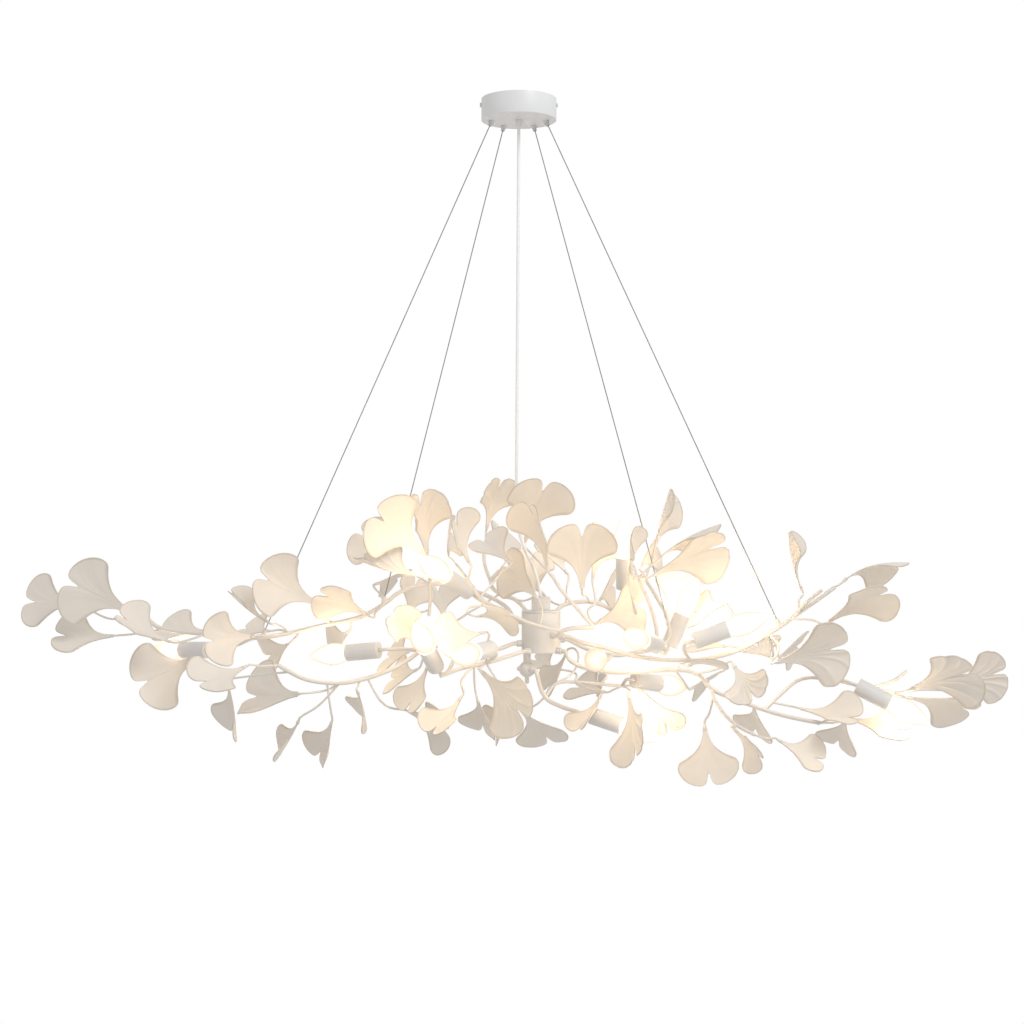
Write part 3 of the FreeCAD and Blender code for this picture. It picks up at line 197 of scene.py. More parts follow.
GROUPS: dict[str, Group] = {
    "upper_left": Group(boss=(150, 622), bars=(
        Limb("branch", ((505, 606, .16), (470, 590, .20), (430, 584, .21), (400, 592, .19), (385, 603, .17),
                        (365, 615, .15), (345, 621, .12), (320, 626, .10), (290, 633, .08), (255, 638, .05),
                        (206, 634, .02), (165, 629, .0), (156, 626, .0), (139, 607, -.03))),
        Limb("limb", ((430, 584, .21), (430, 600, .20), (429, 616, .19))),
    ), leaves=(
        Leaf(MEDIUM, (74, 603), (20, 601), .10, -1, 24, SOFT, 15, ((134, 623), (112, 619, .06), (92, 611, .09))),
        Leaf(LARGE, (129, 611), (67, 582), -.04, 1, -8, FLAT, 15, ((156, 626), (148, 622, -.02))),
        Leaf(MEDIUM, (112, 636), (53, 634), .06, -1, 50, SOFT, 20, ((165, 629), (134, 634, .05))),
        Leaf(MEDIUM, (168, 641), (118, 613), -.22, 1, 64, CUP, 30, ((206, 634), (188, 640, -.12))),
        Leaf(LARGE, (197, 658), (141, 684), .14, 1, 0, SOFT, 15, ((255, 638), (226, 650, .09))),
        Leaf(MEDIUM, (206, 631), (155, 629), .22, -1, 60, SOFT, 10, ((255, 638), (228, 634, .18))),
        Leaf(MEDIUM, (253, 636), (207, 641), -.10, 1, 5, CUP, 15, ((290, 633), (270, 635, -.02))),
        Leaf(SMALL, (266, 621), (229, 590), -.02, 1, 78, CUP, 20, ((290, 633), (278, 624, .04))),
        Leaf(SMALL, (268, 631), (240, 628), .30, -1, 62, SOFT, 10, ((290, 633), (280, 630, .20))),
        Leaf(SMALL, (287, 645), (264, 659), .16, -1, 15, CUP, 10, ((300, 631), (295, 638, .14))),
        Leaf(LARGE, (316, 603), (259, 575), .02, 1, 18, Curl(35, 60), 25, ((330, 624), (322, 612, .05))),
        Leaf(MEDIUM, (368, 615), (318, 593), -.04, 1, -45, SOFT, 10, ((385, 603), (376, 612, .10))),
        Leaf(SMALL, (348, 632), (327, 650), .28, -1, 40, SOFT, 10, ((352, 619), (351, 625, .20))),
        Leaf(LARGE, (423, 552), (374, 513), .06, 1, 8, SOFT, 15, ((430, 584), (429, 565, .14))),
        Leaf(MEDIUM, (398, 566), (357, 529), .42, 1, 0, SOFT, 15, ((430, 584), (415, 575, .34))),
        Leaf(LARGE, (422, 576), (358, 557), -.18, -1, 72, CUP, 20, ((430, 584), (429, 580, .08))),
        Leaf(LARGE, (427, 552), (420, 491), .36, 1, 34, BOAT, 20, ((430, 584), (433, 568, .30))),
        Leaf(SMALL, (409, 618), (417, 577), .36, -1, 40, SOFT, 10, ((429, 610), (418, 614, .26))),
        Leaf(SMALL, (376, 584), (400, 578), .34, -1, 62, SOFT, 10, ((385, 603), (380, 594, .26))),
    ), lamps=(Lamp((208, 650), (180, 650), -.02, -1, ((255, 638), (226, 646, .0))),)),
    "lower_left": Group(boss=(195, 643), bars=(
        Limb("branch", ((497, 649, -.12), (455, 645, -.20), (425, 649, -.26), (405, 662, -.30), (385, 672, -.34),
                        (360, 680, -.38), (340, 683, -.40), (320, 682, -.41), (305, 679, -.42), (290, 672, -.43),
                        (278, 665, -.44))),
    ), leaves=(
        Leaf(LARGE, (298, 694), (240, 697), -.36, -1, 25, Curl(90, 6), 15, ((340, 683), (327, 690, -.38))),
        Leaf(SMALL, (298, 722), (277, 758), -.30, -1, 72, CUP, 10, ((340, 683), (318, 706, -.36))),
        Leaf(SMALL, (331, 724), (316, 762), -.28, -1, 28, Curl(80, 20), 10, ((326, 699), (331, 712, -.34))),
        Leaf(MEDIUM, (245, 667), (200, 682), -.62, 1, 50, SOFT, 15, ((278, 666), (260, 666, -.54))),
        Leaf(MEDIUM, (228, 686), (234, 737), -.30, -1, 58, CUP, 15, ((290, 672), (250, 676, -.38))),
        Leaf(SMALL, (358, 693), (365, 722), -.38, -1, 70, CUP, 10, ((360, 680), (358, 686, -.38))),
        Leaf(MEDIUM, (410, 712), (450, 733), -.30, 1, 35, SOFT, 10, ((367, 678), (385, 705, -.36))),
        Leaf(SMALL, (427, 668), (406, 711), -.38, 1, 52, SOFT, 10, ((425, 649), (427, 658, -.32))),
        Leaf(SMALL, (416, 670), (388, 681), -.10, -1, 58, SOFT, 10, ((425, 649), (422, 662, -.20))),
        Leaf(SMALL, (408, 652), (384, 658), .08, -1, 56, FLAT, 10, ((425, 649), (416, 651, -.06))),
        Leaf(SMALL, (418, 643), (391, 612), -.34, 1, 20, ROLL, 20, ((425, 649), (422, 647, -.30))),
    ), lamps=(
        Lamp((379, 650), (346, 653), -.16, -1, ((425, 649), (398, 649, -.18))),
        Lamp((436, 667), (426, 647), -.46, 1, ((455, 645), (450, 668, -.36), (442, 674, -.42))),
    )),
    "front_arc": Group(boss=(305, 634), bars=(
        Limb("branch", ((562, 631, -.19), (594, 627, -.20))),
        Limb("limb", ((562, 631, -.19), (550, 629, -.19), (520, 619, -.21), (495, 607, -.23), (480, 597, -.25),
                      (468, 580, -.28), (455, 564, -.30))),
        Limb("limb", ((594, 627, -.20), (575, 606, -.18), (560, 588, -.16), (552, 575, -.15))),
    ), leaves=(
        Leaf(SMALL, (448, 554), (450, 529), -.30, -1, 80, CUP, 10, ((455, 564), (451, 559, -.30))),
        Leaf(MEDIUM, (469, 562), (455, 515), -.34, 1, 58, CUP, 20, ((468, 580), (470, 571, -.32))),
        Leaf(SMALL, (508, 560), (481, 538), -.20, -1, 30, CUP, 10, ((480, 597), (501, 574, -.22))),
        Leaf(LARGE, (547, 566), (528, 502), -.16, 1, -62, CUP, 20, ((552, 575),)),
        Leaf(SMALL, (480, 616), (513, 616), -.32, 1, 45, SOFT, 10, ((495, 607), (480, 606, -.27), (467, 611, -.30))),
        Leaf(LARGE, (526, 539), (547, 480), .07, 1, 20, SOFT, 20, ((556, 582), (543, 566, -.08), (530, 552, .0))),
        Leaf(MEDIUM, (536, 597), (504, 562), -.16, -1, -38, SOFT, 10, ((540, 626), (542, 610, -.17))),
    ), lamps=(Lamp((469, 592), (446, 576), -.06, 1, ((495, 607), (480, 600, -.12))),)),
    "front_left": Group(boss=(230, 650), bars=(
        Limb("branch", ((512, 655, -.22), (486, 663, -.34), (462, 668, -.42), (440, 676, -.48))),
    ), leaves=(
        Leaf(SMALL, (482, 633), (437, 639), -.50, 1, 22, SOFT, 15, ((486, 663), (487, 645, -.44))),
        Leaf(LARGE, (482, 672), (526, 721), -.46, 1, 35, SOFT, 15, ((486, 663), (480, 668, -.40))),
        Leaf(SMALL, (460, 699), (431, 732), -.56, 1, 48, CUP, 20, ((474, 666), (461, 682, -.50))),
        Leaf(SMALL, (478, 702), (484, 734), -.37, -1, 40, CUP, 10, ((474, 666), (475, 688, -.38))),
        Leaf(SMALL, (506, 706), (494, 734), -.28, -1, 55, CUP, 10, ((486, 663), (500, 686, -.32))),
    ), lamps=(Lamp((490, 649), (474, 653), -.66, 1, ((486, 663), (496, 655, -.48))),)),
    "top_left": Group(boss=(110, 618), bars=(
        Limb("branch", ((516, 600, .26), (500, 594, .36), (491, 583, .42), (499, 571, .46))),
        Limb("limb", ((491, 583, .42), (484, 560, .44), (486, 540, .44))),
    ), leaves=(
        Leaf(MEDIUM, (487, 527), (503, 478), .44, 1, 40, CUP, 20, ((486, 540),)),
        Leaf(SMALL, (505, 558), (501, 528), .60, -1, 55, SOFT, 10, ((499, 571), (503, 566, .53))),
        Leaf(SMALL, (444, 617), (437, 585), .56, -1, 30, CUP, 10, ((500, 594), (470, 612, .44), (450, 622, .52))),
        Leaf(SMALL, (534, 590), (531, 551), .20, -1, 30, SOFT, 10, ((516, 600), (527, 600, .20))),
    ), lamps=()),
    "top_right": Group(boss=(60, 616), bars=(
        Limb("branch", ((562, 606, .24), (578, 602, .28), (596, 603, .30), (615, 612, .32), (630, 624, .34))),
    ), leaves=(
        Leaf(LARGE, (582, 588), (582, 523), .14, 1, 0, SOFT, 15, ((590, 603), (586, 596, .20))),
        Leaf(MEDIUM, (593, 576), (602, 527), .44, -1, 42, CUP, 10, ((596, 603), (594, 590, .38))),
        Leaf(SMALL, (566, 572), (546, 544), .46, -1, 50, SOFT, 10, ((566, 605), (567, 588, .38))),
        Leaf(SMALL, (543, 594), (520, 570), .34, -1, 45, CUP, 10, ((562, 606), (552, 602, .30))),
        Leaf(SMALL, (600, 600), (615, 583), .50, -1, 48, SOFT, 10, ((615, 612), (607, 608, .42))),
        Leaf(MEDIUM, (599, 622), (645, 604), .16, -1, 15, SOFT, 10, ((596, 603), (588, 612, .20))),
    ), lamps=(Lamp((624, 588), (624, 556), .40, 1, ((620, 616), (627, 606, .39))),)),
    "right_cluster": Group(boss=(20, 640), bars=(
        Limb("branch", ((585, 648, .06), (612, 655, .04), (640, 652, .03), (658, 648, .02))),
        Limb("limb", ((658, 648, .02), (655, 622, -.02), (648, 600, -.06), (638, 578, -.10))),
        Limb("limb", ((658, 648, .02), (668, 640, .05), (667, 618, .08), (657, 598, .10), (646, 580, .12))),
    ), leaves=(
        Leaf(LARGE, (653, 556), (671, 490), .12, -1, 74, CUP, 10, ((646, 580), (649, 568, .12))),
        Leaf(LARGE, (660, 558), (719, 526), -.12, -1, 74, CUP, 28, ((638, 578), (650, 567, -.12))),
        Leaf(LARGE, (654, 575), (727, 543), -.24, -1, 50, SOFT, 10, ((638, 578), (646, 576, -.16))),
        Leaf(SMALL, (641, 566), (658, 543), .24, -1, 50, CUP, 10, ((646, 580), (643, 573, .18))),
        Leaf(SMALL, (632, 572), (632, 530), -.22, 1, 68, CUP, 15, ((638, 578), (634, 575, -.14))),
        Leaf(SMALL, (629, 574), (634, 604), -.20, -1, -66, CUP, 10, ((638, 578), (632, 564, -.16))),
        Leaf(SMALL, (669, 613), (681, 574), .26, -1, 0, SOFT, 10, ((667, 625), (668, 619, .16))),
    ), lamps=(
        Lamp((657, 645), (642, 640), -.18, 1, ((658, 648), (668, 650, -.10), (664, 648, -.14))),
        Lamp((669, 646), (684, 611), .22, -1, ((658, 648), (663, 655, .14))),
        Lamp((597, 664), (596, 661), -.36, 1, ((612, 655), (603, 664, -.14), (597, 665, -.26))),
    )),
    "upper_right": Group(boss=(340, 636), bars=(
        Limb("branch", ((578, 641, -.08), (605, 648, -.10), (640, 657, -.12), (690, 660, -.13), (720, 656, -.12),
                        (745, 647, -.11), (768, 634, -.10), (785, 623, -.09), (800, 612, -.08), (820, 598, -.07),
                        (835, 587, -.06))),
        Limb("limb", ((796, 614, -.08), (808, 601, -.14), (822, 590, -.18))),
    ), leaves=(
        Leaf(MEDIUM, (801, 588), (789, 531), .04, -1, 74, CUP, 22, ((800, 612), (799, 600, .0))),
        Leaf(LARGE, (845, 580), (907, 565), -.05, -1, 70, CUP, 48, ((835, 587),)),
        Leaf(LARGE, (830, 621), (888, 593), -.20, 1, 48, SOFT, 20, ((790, 619), (812, 620, -.16))),
        Leaf(LARGE, (777, 662), (849, 646), -.34, 1, 26, SOFT, 10, ((768, 634), (778, 645, -.20), (776, 656, -.28))),
        Leaf(SMALL, (781, 656), (801, 644), .04, -1, 45, SOFT, 10, ((768, 634), (776, 645, -.04))),
        Leaf(SMALL, (771, 657), (755, 644), .14, -1, 30, SOFT, 10, ((768, 634), (772, 646, .0))),
        Leaf(SMALL, (722, 605), (693, 614), .22, -1, 58, SOFT, 10, ((745, 647), (736, 620, .10))),
        Leaf(SMALL, (724, 646), (695, 644), .14, -1, 64, SOFT, 10, ((745, 647), (735, 647, .0))),
    ), lamps=(Lamp((694, 641), (729, 629), -.34, 1, ((690, 660), (684, 650, -.22), (686, 643, -.30))),)),
    "lower_right": Group(boss=(325, 650), bars=(
        Limb("branch", ((572, 662, -.20), (600, 671, -.28), (640, 672, -.32), (675, 670, -.32), (697, 674, -.32),
                        (712, 689, -.33), (735, 699, -.34), (765, 710, -.34), (790, 717, -.34), (820, 723, -.34))),
        Limb("limb", ((765, 710, -.34), (780, 695, -.28), (802, 679, -.22), (830, 679, -.20))),
        Limb("limb", ((830, 679, -.20), (870, 688, -.10), (895, 693, -.06))),
        Limb("limb", ((870, 688, -.10), (893, 681, -.06), (907, 671, -.04))),
        Limb("limb", ((712, 689, -.33), (716, 702, -.38), (735, 724, -.44), (755, 735, -.46))),
    ), leaves=(
        Leaf(SMALL, (734, 666), (754, 698), -.54, 1, 5, CUP, 15, ((697, 674), (720, 668, -.44))),
        Leaf(SMALL, (692, 688), (713, 679), -.14, -1, 55, SOFT, 10, ((675, 670), (684, 682, -.22))),
        Leaf(SMALL, (690, 665), (711, 659), -.50, 1, 52, SOFT, 10, ((675, 670), (683, 664, -.42))),
        Leaf(SMALL, (754, 709), (756, 736), -.20, -1, 52, SOFT, 10, ((735, 699), (750, 703, -.26))),
        Leaf(MEDIUM, (705, 728), (710, 786), -.06, -1, 0, FLAT, 10, ((714, 695), (709, 714, -.20))),
        Leaf(SMALL, (735, 730), (761, 759), -.56, 1, 60, CUP, 10, ((735, 724), (735, 727, -.50))),
        Leaf(SMALL, (780, 741), (825, 762), -.46, -1, -50, SOFT, 15, ((755, 735), (768, 739, -.46))),
        Leaf(MEDIUM, (803, 709), (856, 718), -.30, 1, -60, CUP, 10, ((772, 702), (790, 706, -.32))),
        Leaf(SMALL, (845, 722), (836, 747), -.40, -1, 30, CUP, 10, ((820, 723), (832, 719, -.36))),
        Leaf(MEDIUM, (852, 719), (906, 731), -.14, 1, -50, CUP, 10, ((820, 723), (838, 722, -.24))),
        Leaf(LARGE, (912, 689), (971, 673), -.42, 1, 28, SOFT, 15, ((895, 693), (904, 692, -.24))),
        Leaf(MEDIUM, (950, 688), (1007, 671), .34, -1, 26, FLAT, 10, ((895, 693), (918, 690, .12), (934, 690, .24))),
        Leaf(LARGE, (910, 698), (977, 712), .06, -1, 58, SOFT, 10, ((895, 693), (902, 696, .0))),
    ), lamps=(Lamp((857, 686), (888, 702), -.26, 1, ((830, 679), (845, 681, -.24))),)),
    "bottom": Group(boss=(300, 684), bars=(
        Limb("branch", ((545, 697, -.10), (560, 706, -.12), (578, 712, -.13))),
        Limb("limb", ((545, 697, -.10), (556, 684, -.04), (575, 682, .02), (600, 684, .06), (622, 686, .08))),
    ), leaves=(
        Leaf(SMALL, (566, 654), (544, 694), .12, -1, 68, SOFT, 10, ((556, 684), (576, 668, .06), (576, 650, .09))),
        Leaf(MEDIUM, (524, 714), (553, 745), .10, -1, 36, SOFT, 10, ((545, 697), (534, 706, .02))),
        Leaf(LARGE, (629, 697), (635, 756), -.42, 1, 66, SOFT, 10, ((622, 686), (627, 688, -.10), (630, 692, -.34))),
        Leaf(SMALL, (648, 697), (672, 734), -.32, -1, 28, SOFT, 10, ((622, 686), (632, 686, -.06), (643, 691, -.26))),
        Leaf(SMALL, (600, 697), (578, 730), -.20, 1, 70, CUP, 15, ((575, 682), (592, 690, -.08))),
        Leaf(SMALL, (604, 692), (573, 686), .22, -1, 50, SOFT, 10, ((622, 686), (613, 690, .14))),
        Leaf(SMALL, (606, 676), (598, 672), .22, -1, 0, SOFT, 10, ((600, 684), (604, 680, .12))),
        Leaf(SMALL, (552, 668), (532, 658), .36, -1, 40, SOFT, 10, ((575, 682), (573, 672, .26))),
    ), lamps=(
        Lamp((592, 716), (622, 726), -.20, 1, ((578, 712),)),
        Lamp((635, 680), (660, 684), .0, -1, ((622, 686), (626, 680, .04))),
    )),
}


# Shaping helpers


def clear_selection() -> None:
    """Leave edit mode and select nothing."""
    if bpy.context.mode != "OBJECT":
        bpy.ops.object.mode_set(mode="OBJECT")
    bpy.ops.object.select_all(action="DESELECT")


def pick(*pieces: Piece) -> None:
    """Select only these pieces and make the first one active."""
    clear_selection()
    for piece in pieces:
        piece.select_set(True)
    bpy.context.view_layer.objects.active = pieces[0]


def named(piece: Piece, name: str) -> Piece:
    """Name a piece and its mesh alike."""
    piece.name = piece.data.name = name
    return piece


def joined(name: str, parts: list[Piece]) -> Piece:
    """Join parts into one named piece."""
    pick(*parts)
    if len(parts) > 1:
        bpy.ops.object.join()
    return named(bpy.context.view_layer.objects.active, name)


def copied(model: Piece, name: str) -> Piece:
    """Copy a piece together with its mesh."""
    twin = model.copy()
    twin.data = model.data.copy()
    bpy.context.scene.collection.objects.link(twin)
    return named(twin, name)


def stood(piece: Piece, seat: Vector, way: Vector = UP) -> Piece:
    """Turn a piece modelled along Z to a way and move it to its seat, in its mesh."""
    turn = UP.rotation_difference(way)
    piece.data.transform(Matrix.Translation(seat) @ turn.to_matrix().to_4x4())
    return piece


def apply(piece: Piece, kind: str, **settings: object) -> None:
    """Add a modifier with these settings and apply it."""
    pick(piece)
    modifier = piece.modifiers.new(kind.title(), kind)
    for name, value in settings.items():
        setattr(modifier, name, value)
    bpy.ops.object.modifier_apply(modifier=modifier.name)


def smoothed(piece: Piece, degrees: float) -> Piece:
    """Shade a piece smooth over edges flatter than this."""
    pick(piece)
    bpy.ops.object.shade_smooth_by_angle(angle=math.radians(degrees))
    return piece


def clean_mesh() -> None:
    """Merge doubled points, turn the faces outwards and leave edit mode."""
    bpy.ops.mesh.select_all(action="SELECT")
    bpy.ops.mesh.remove_doubles(threshold=MERGE_GAP)
    bpy.ops.mesh.normals_make_consistent(inside=False)
    bpy.ops.object.mode_set(mode="OBJECT")


def turned(name: str, outline: list[Pair], sides: int, closed: bool = False, rounding: float = 0.0) -> Piece:
    """Turn an outline about Z: a ring is drawn out and resized from step to step.

    Args:
        name: the piece's name.
        outline: radius and height of each step, in metres.
        sides: number of sides.
        closed: whether the outline closes on itself, as a pipe's wall does.
        rounding: width of the rounding on sharp edges, in metres.

    Returns:
        The turned piece.
    """
    clear_selection()
    radius, height = outline[0]
    bpy.ops.mesh.primitive_circle_add(vertices=sides, radius=radius, fill_type="NOTHING", location=(0, 0, height))
    piece = bpy.context.active_object
    piece.data.transform(piece.matrix_world)
    piece.matrix_world = Matrix.Identity(4)
    bpy.ops.object.mode_set(mode="EDIT")
    bpy.ops.mesh.select_all(action="SELECT")
    if not closed:
        bpy.ops.mesh.edge_face_add()
        bpy.ops.mesh.select_all(action="SELECT")
    for next_radius, next_height in outline[1:] + (outline[:1] if closed else []):
        bpy.ops.mesh.extrude_edges_move(TRANSFORM_OT_translate={"value": (0, 0, next_height - height)})
        share = next_radius / radius
        bpy.ops.transform.resize(value=(share, share, 1), center_override=(0, 0, next_height))
        radius, height = next_radius, next_height
    if not closed:
        bpy.ops.mesh.edge_face_add()
    clean_mesh()
    if rounding:
        angle = math.radians(ROUNDED_FROM)
        apply(piece, "BEVEL", width=rounding, segments=3, limit_method="ANGLE", angle_limit=angle)
    return named(smoothed(piece, TURNED_SMOOTH), name)


class Run(NamedTuple):
    """A stretch of round bar: the places it passes and its radius at each."""

    places: list[Vector]
    radii: list[float]


def bent_bars(name: str, runs: list[Run], fineness: int) -> Piece:
    """Bend round bars along smooth lines and close their ends.

    Args:
        name: the piece's name.
        runs: the bars.
        fineness: how finely each bar's round is divided.

    Returns:
        One mesh that holds all of the bars.
    """
    clear_selection()
    bpy.ops.curve.primitive_bezier_curve_add(location=(0, 0, 0))
    line = bpy.context.active_object.data
    line.splines.clear()
    line.dimensions = "3D"
    line.bevel_depth = 1.0
    line.bevel_resolution = fineness
    line.resolution_u = 5
    line.use_fill_caps = True
    for run in runs:
        spline = line.splines.new("BEZIER")
        spline.bezier_points.add(len(run.places) - 1)
        for point, place, radius in zip(spline.bezier_points, run.places, run.radii):
            point.co = place
            point.radius = radius
            point.handle_left_type = point.handle_right_type = "AUTO"
    bpy.ops.object.convert(target="MESH")
    piece = bpy.context.active_object
    bpy.ops.object.mode_set(mode="EDIT")
    clean_mesh()
    return named(smoothed(piece, BENT_SMOOTH), name)


def dress(piece: Piece, finish: Material) -> None:
    """Give a piece one finish all over."""
    piece.data.materials.clear()
    piece.data.materials.append(finish)


def fix(piece: Piece, finish: Material, node: str, body: str = "hung_fixture") -> None:
    """Dress a finished piece and fasten it to its body in place of its plain node.

    Args:
        piece: the finished piece.
        finish: its finish.
        node: the plain node that it stands for.
        body: the body that it moves with.
    """
    dress(piece, finish)
    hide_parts(node)
    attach(piece, body)
    log.info("%s on %s", piece.name, body)


# Finishes


def feed(tree: Tree, node: Node, sockets: dict[str | int, object]) -> None:
    """Give each of a node's inputs its value, or the output that feeds it."""
    for name, value in sockets.items():
        if isinstance(value, Socket):
            tree.links.new(value, node.inputs[name])
        else:
            node.inputs[name].default_value = value


def added(tree: Tree, kind: str, sockets: dict[str | int, object] | None = None, **settings: object) -> Node:
    """Add a shader node of a kind, set it and feed its inputs."""
    node = tree.nodes.new("ShaderNode" + kind)
    for name, value in settings.items():
        setattr(node, name, value)
    feed(tree, node, sockets or {})
    return node


def worked_out(tree: Tree, operation: str, *values: float | Socket) -> Socket:
    """Add a maths node and return its result."""
    return added(tree, "Math", dict(enumerate(values)), operation=operation).outputs[0]


def mapped(tree: Tree, value: Socket, span: Pair, onto: Pair, kind: str) -> Socket:
    """Map a span of a value onto another span and return the result."""
    sockets = {"Value": value, "From Min": span[0], "From Max": span[1], "To Min": onto[0], "To Max": onto[1]}
    return added(tree, "MapRange", sockets, interpolation_type=kind).outputs["Result"]


def toned(tree: Tree, tone: Socket, low: Triple, high: Triple) -> Socket:
    """Mix two colours by a tone from 0 to 1, over its middle span."""
    ramp = added(tree, "ValToRGB", {"Fac": tone})
    for element, place, colour in zip(ramp.color_ramp.elements, (0.3, 0.7), (low, high)):
        element.position = place
        element.color = (*colour, 1)
    return ramp.outputs["Color"]


def raised(tree: Tree, height: Socket, strength: float, distance: float, **below: Socket) -> Socket:
    """Add a bump and return its normal."""
    sockets = {"Height": height, "Strength": strength, "Distance": distance, **below}
    return added(tree, "Bump", sockets).outputs["Normal"]


def end_in_mix(tree: Tree, end: str, share: Socket, first: Socket, second: Socket) -> None:
    """Feed a mix of two shaders to the tree's end node."""
    mix = added(tree, "MixShader", {"Fac": share, 1: first, 2: second})
    feed(tree, tree.nodes[end], {"Surface": mix.outputs["Shader"]})


def new_group(name: str, inputs: dict[str, float], outputs: tuple[str, ...]) -> tuple[Tree, Node, Node]:
    """Start a shader group.

    Args:
        name: the group's name.
        inputs: its inputs beside Vector, with their values.
        outputs: its outputs.

    Returns:
        The group, and the nodes at its two ends.
    """
    tree = bpy.data.node_groups.new(name, "ShaderNodeTree")
    tree.interface.new_socket(name="Vector", in_out="INPUT", socket_type="NodeSocketVector")
    for key, value in inputs.items():
        tree.interface.new_socket(name=key, in_out="INPUT", socket_type="NodeSocketFloat").default_value = value
    for key in outputs:
        tree.interface.new_socket(name=key, in_out="OUTPUT", socket_type="NodeSocketFloat")
    return tree, tree.nodes.new("NodeGroupInput"), tree.nodes.new("NodeGroupOutput")


def speckle_group() -> Tree:
    """Build the group for sprayed enamel: a cloud of tone, and the fine orange-peel height of the spray."""
    tree, start, end = new_group("sprayed enamel", {"Cloud Scale": 14.0, "Grain Scale": 900.0}, ("Tone", "Height"))
    for scale, detail, result in (("Cloud Scale", 3.0, "Tone"), ("Grain Scale", 2.0, "Height")):
        sockets = {"Vector": start.outputs["Vector"], "Scale": start.outputs[scale], "Detail": detail}
        feed(tree, end, {result: added(tree, "TexNoise", sockets).outputs["Fac"]})
    return tree


@dataclass(frozen=True)
class Veins:
    """A blade's fine veins, which fan out from its neck with a soft swell between them, and a painted shade along its
    rim.
    """

    count: float = 31.0
    swell: float = 0.5
    waver: float = 0.06
    waver_scale: float = 2.5
    width: float = 0.15
    fade: Pair = (0.3, 0.62)
    # How far in from the blade's edge the painted rim shade reaches, as a share of the blade
    rim_shade_width: float = 0.04

    def group(self) -> Tree:
        """Build the group, with inputs Vector, Count and Swell and outputs Height and Rim, the mask of the painted
        shade along the blade's edge.
        """
        tree, start, end = new_group("blade veins", {"Count": self.count, "Swell": self.swell}, ("Height", "Rim"))
        where = start.outputs["Vector"]
        place = added(tree, "SeparateXYZ", {"Vector": where}).outputs
        waver = added(tree, "TexNoise", {"Vector": where, "Scale": self.waver_scale}).outputs["Fac"]
        fan = worked_out(tree, "MULTIPLY_ADD", waver, self.waver, place["X"])
        off = worked_out(tree, "PINGPONG", worked_out(tree, "MULTIPLY", fan, start.outputs["Count"]), 0.5)
        vein = mapped(tree, off, (0.0, self.width), (1.0, 0.0), "SMOOTHERSTEP")
        swell = mapped(tree, off, (0.0, 0.5), (0.0, 1.0), "SMOOTHSTEP")
        height = worked_out(tree, "MULTIPLY_ADD", swell, start.outputs["Swell"], vein)
        fade = mapped(tree, place["Y"], self.fade, (0.0, 1.0), "LINEAR")
        # How near a point lies to the blade's side and rim: the mask for the painted rim shade
        from_side = worked_out(tree, "PINGPONG", place["X"], 0.5)
        from_rim = worked_out(tree, "MINIMUM", from_side, worked_out(tree, "SUBTRACT", 1.0, place["Y"]))
        rim = mapped(tree, from_rim, (0.0, self.rim_shade_width), (1.0, 0.0), "SMOOTHSTEP")
        feed(tree, end, {"Height": worked_out(tree, "MULTIPLY", height, fade), "Rim": rim})
        return tree


def new_finish(name: str) -> tuple[Material, Tree, Node]:
    """Make an empty finish, and return it with its node tree and its main shader."""
    finish = bpy.data.materials.new(name)
    finish.use_nodes = True
    return finish, finish.node_tree, finish.node_tree.nodes["Principled BSDF"]


@dataclass(frozen=True)
class Finish:
    """A surface with a cloud of tone and a fine grain, laid on the piece's own coordinates."""

    name: str
    low: Triple
    high: Triple
    roughness: float
    depth: float
    cloud: float = 14.0
    grain: float = 700.0
    strength: float = 0.5
    specular: float = 0.5
    metallic: float = 0.0

    def coat(self, tree: Tree, tone: Socket, height: Socket) -> dict[str, object]:
        """Return what feeds the main shader beside its plain numbers.

        Args:
            tree: the finish's node tree.
            tone: the cloud of tone.
            height: the fine height of the grain.

        Returns:
            The value or the output for each input.
        """
        return {
            "Base Color": toned(tree, tone, self.low, self.high),
            "Normal": raised(tree, height, self.strength, self.depth),
        }

    def material(self, spray: Tree) -> Material:
        """Make the finish, with the spray group laid on the piece's own coordinates."""
        finish, tree, shader = new_finish(self.name)
        where = added(tree, "TexCoord").outputs["Object"]
        scales = {"Vector": where, "Cloud Scale": self.cloud, "Grain Scale": self.grain}
        noise = added(tree, "Group", scales, node_tree=spray).outputs
        plain = {"Roughness": self.roughness, "Specular IOR Level": self.specular, "Metallic": self.metallic}
        feed(tree, shader, plain | self.coat(tree, noise["Tone"], noise["Height"]))
        return finish


@dataclass(frozen=True)
class EnamelFinish(Finish):
    """Matt white enamel, sprayed on steel."""

    specular: float = 0.35


@dataclass(frozen=True)
class BladeFinish(EnamelFinish):
    """Enamel over a blade's fine veins, with a painted shade along the rim."""

    veins: Tree | None = None
    vein_depth: float = 0.00012
    # Colour of the painted shade along the blade's rim
    rim: Triple = (0.63, 0.56, 0.48)

    def coat(self, tree: Tree, tone: Socket, height: Socket) -> dict[str, object]:
        """Return the enamel's colour with the painted rim shade mixed in, and its normal with the veins laid on it."""
        coat = super().coat(tree, tone, height)
        where = added(tree, "UVMap").outputs["UV"]
        blade = added(tree, "Group", {"Vector": where}, node_tree=self.veins).outputs
        # Mix the painted rim shade into the enamel's colour, by the rim mask
        rim_shaded = {"Factor": blade["Rim"], "A": coat["Base Color"], "B": (*self.rim, 1)}
        return {
            "Base Color": added(tree, "Mix", rim_shaded, data_type="RGBA").outputs["Result"],
            "Normal": raised(tree, blade["Height"], self.strength, self.vein_depth, Normal=coat["Normal"]),
        }


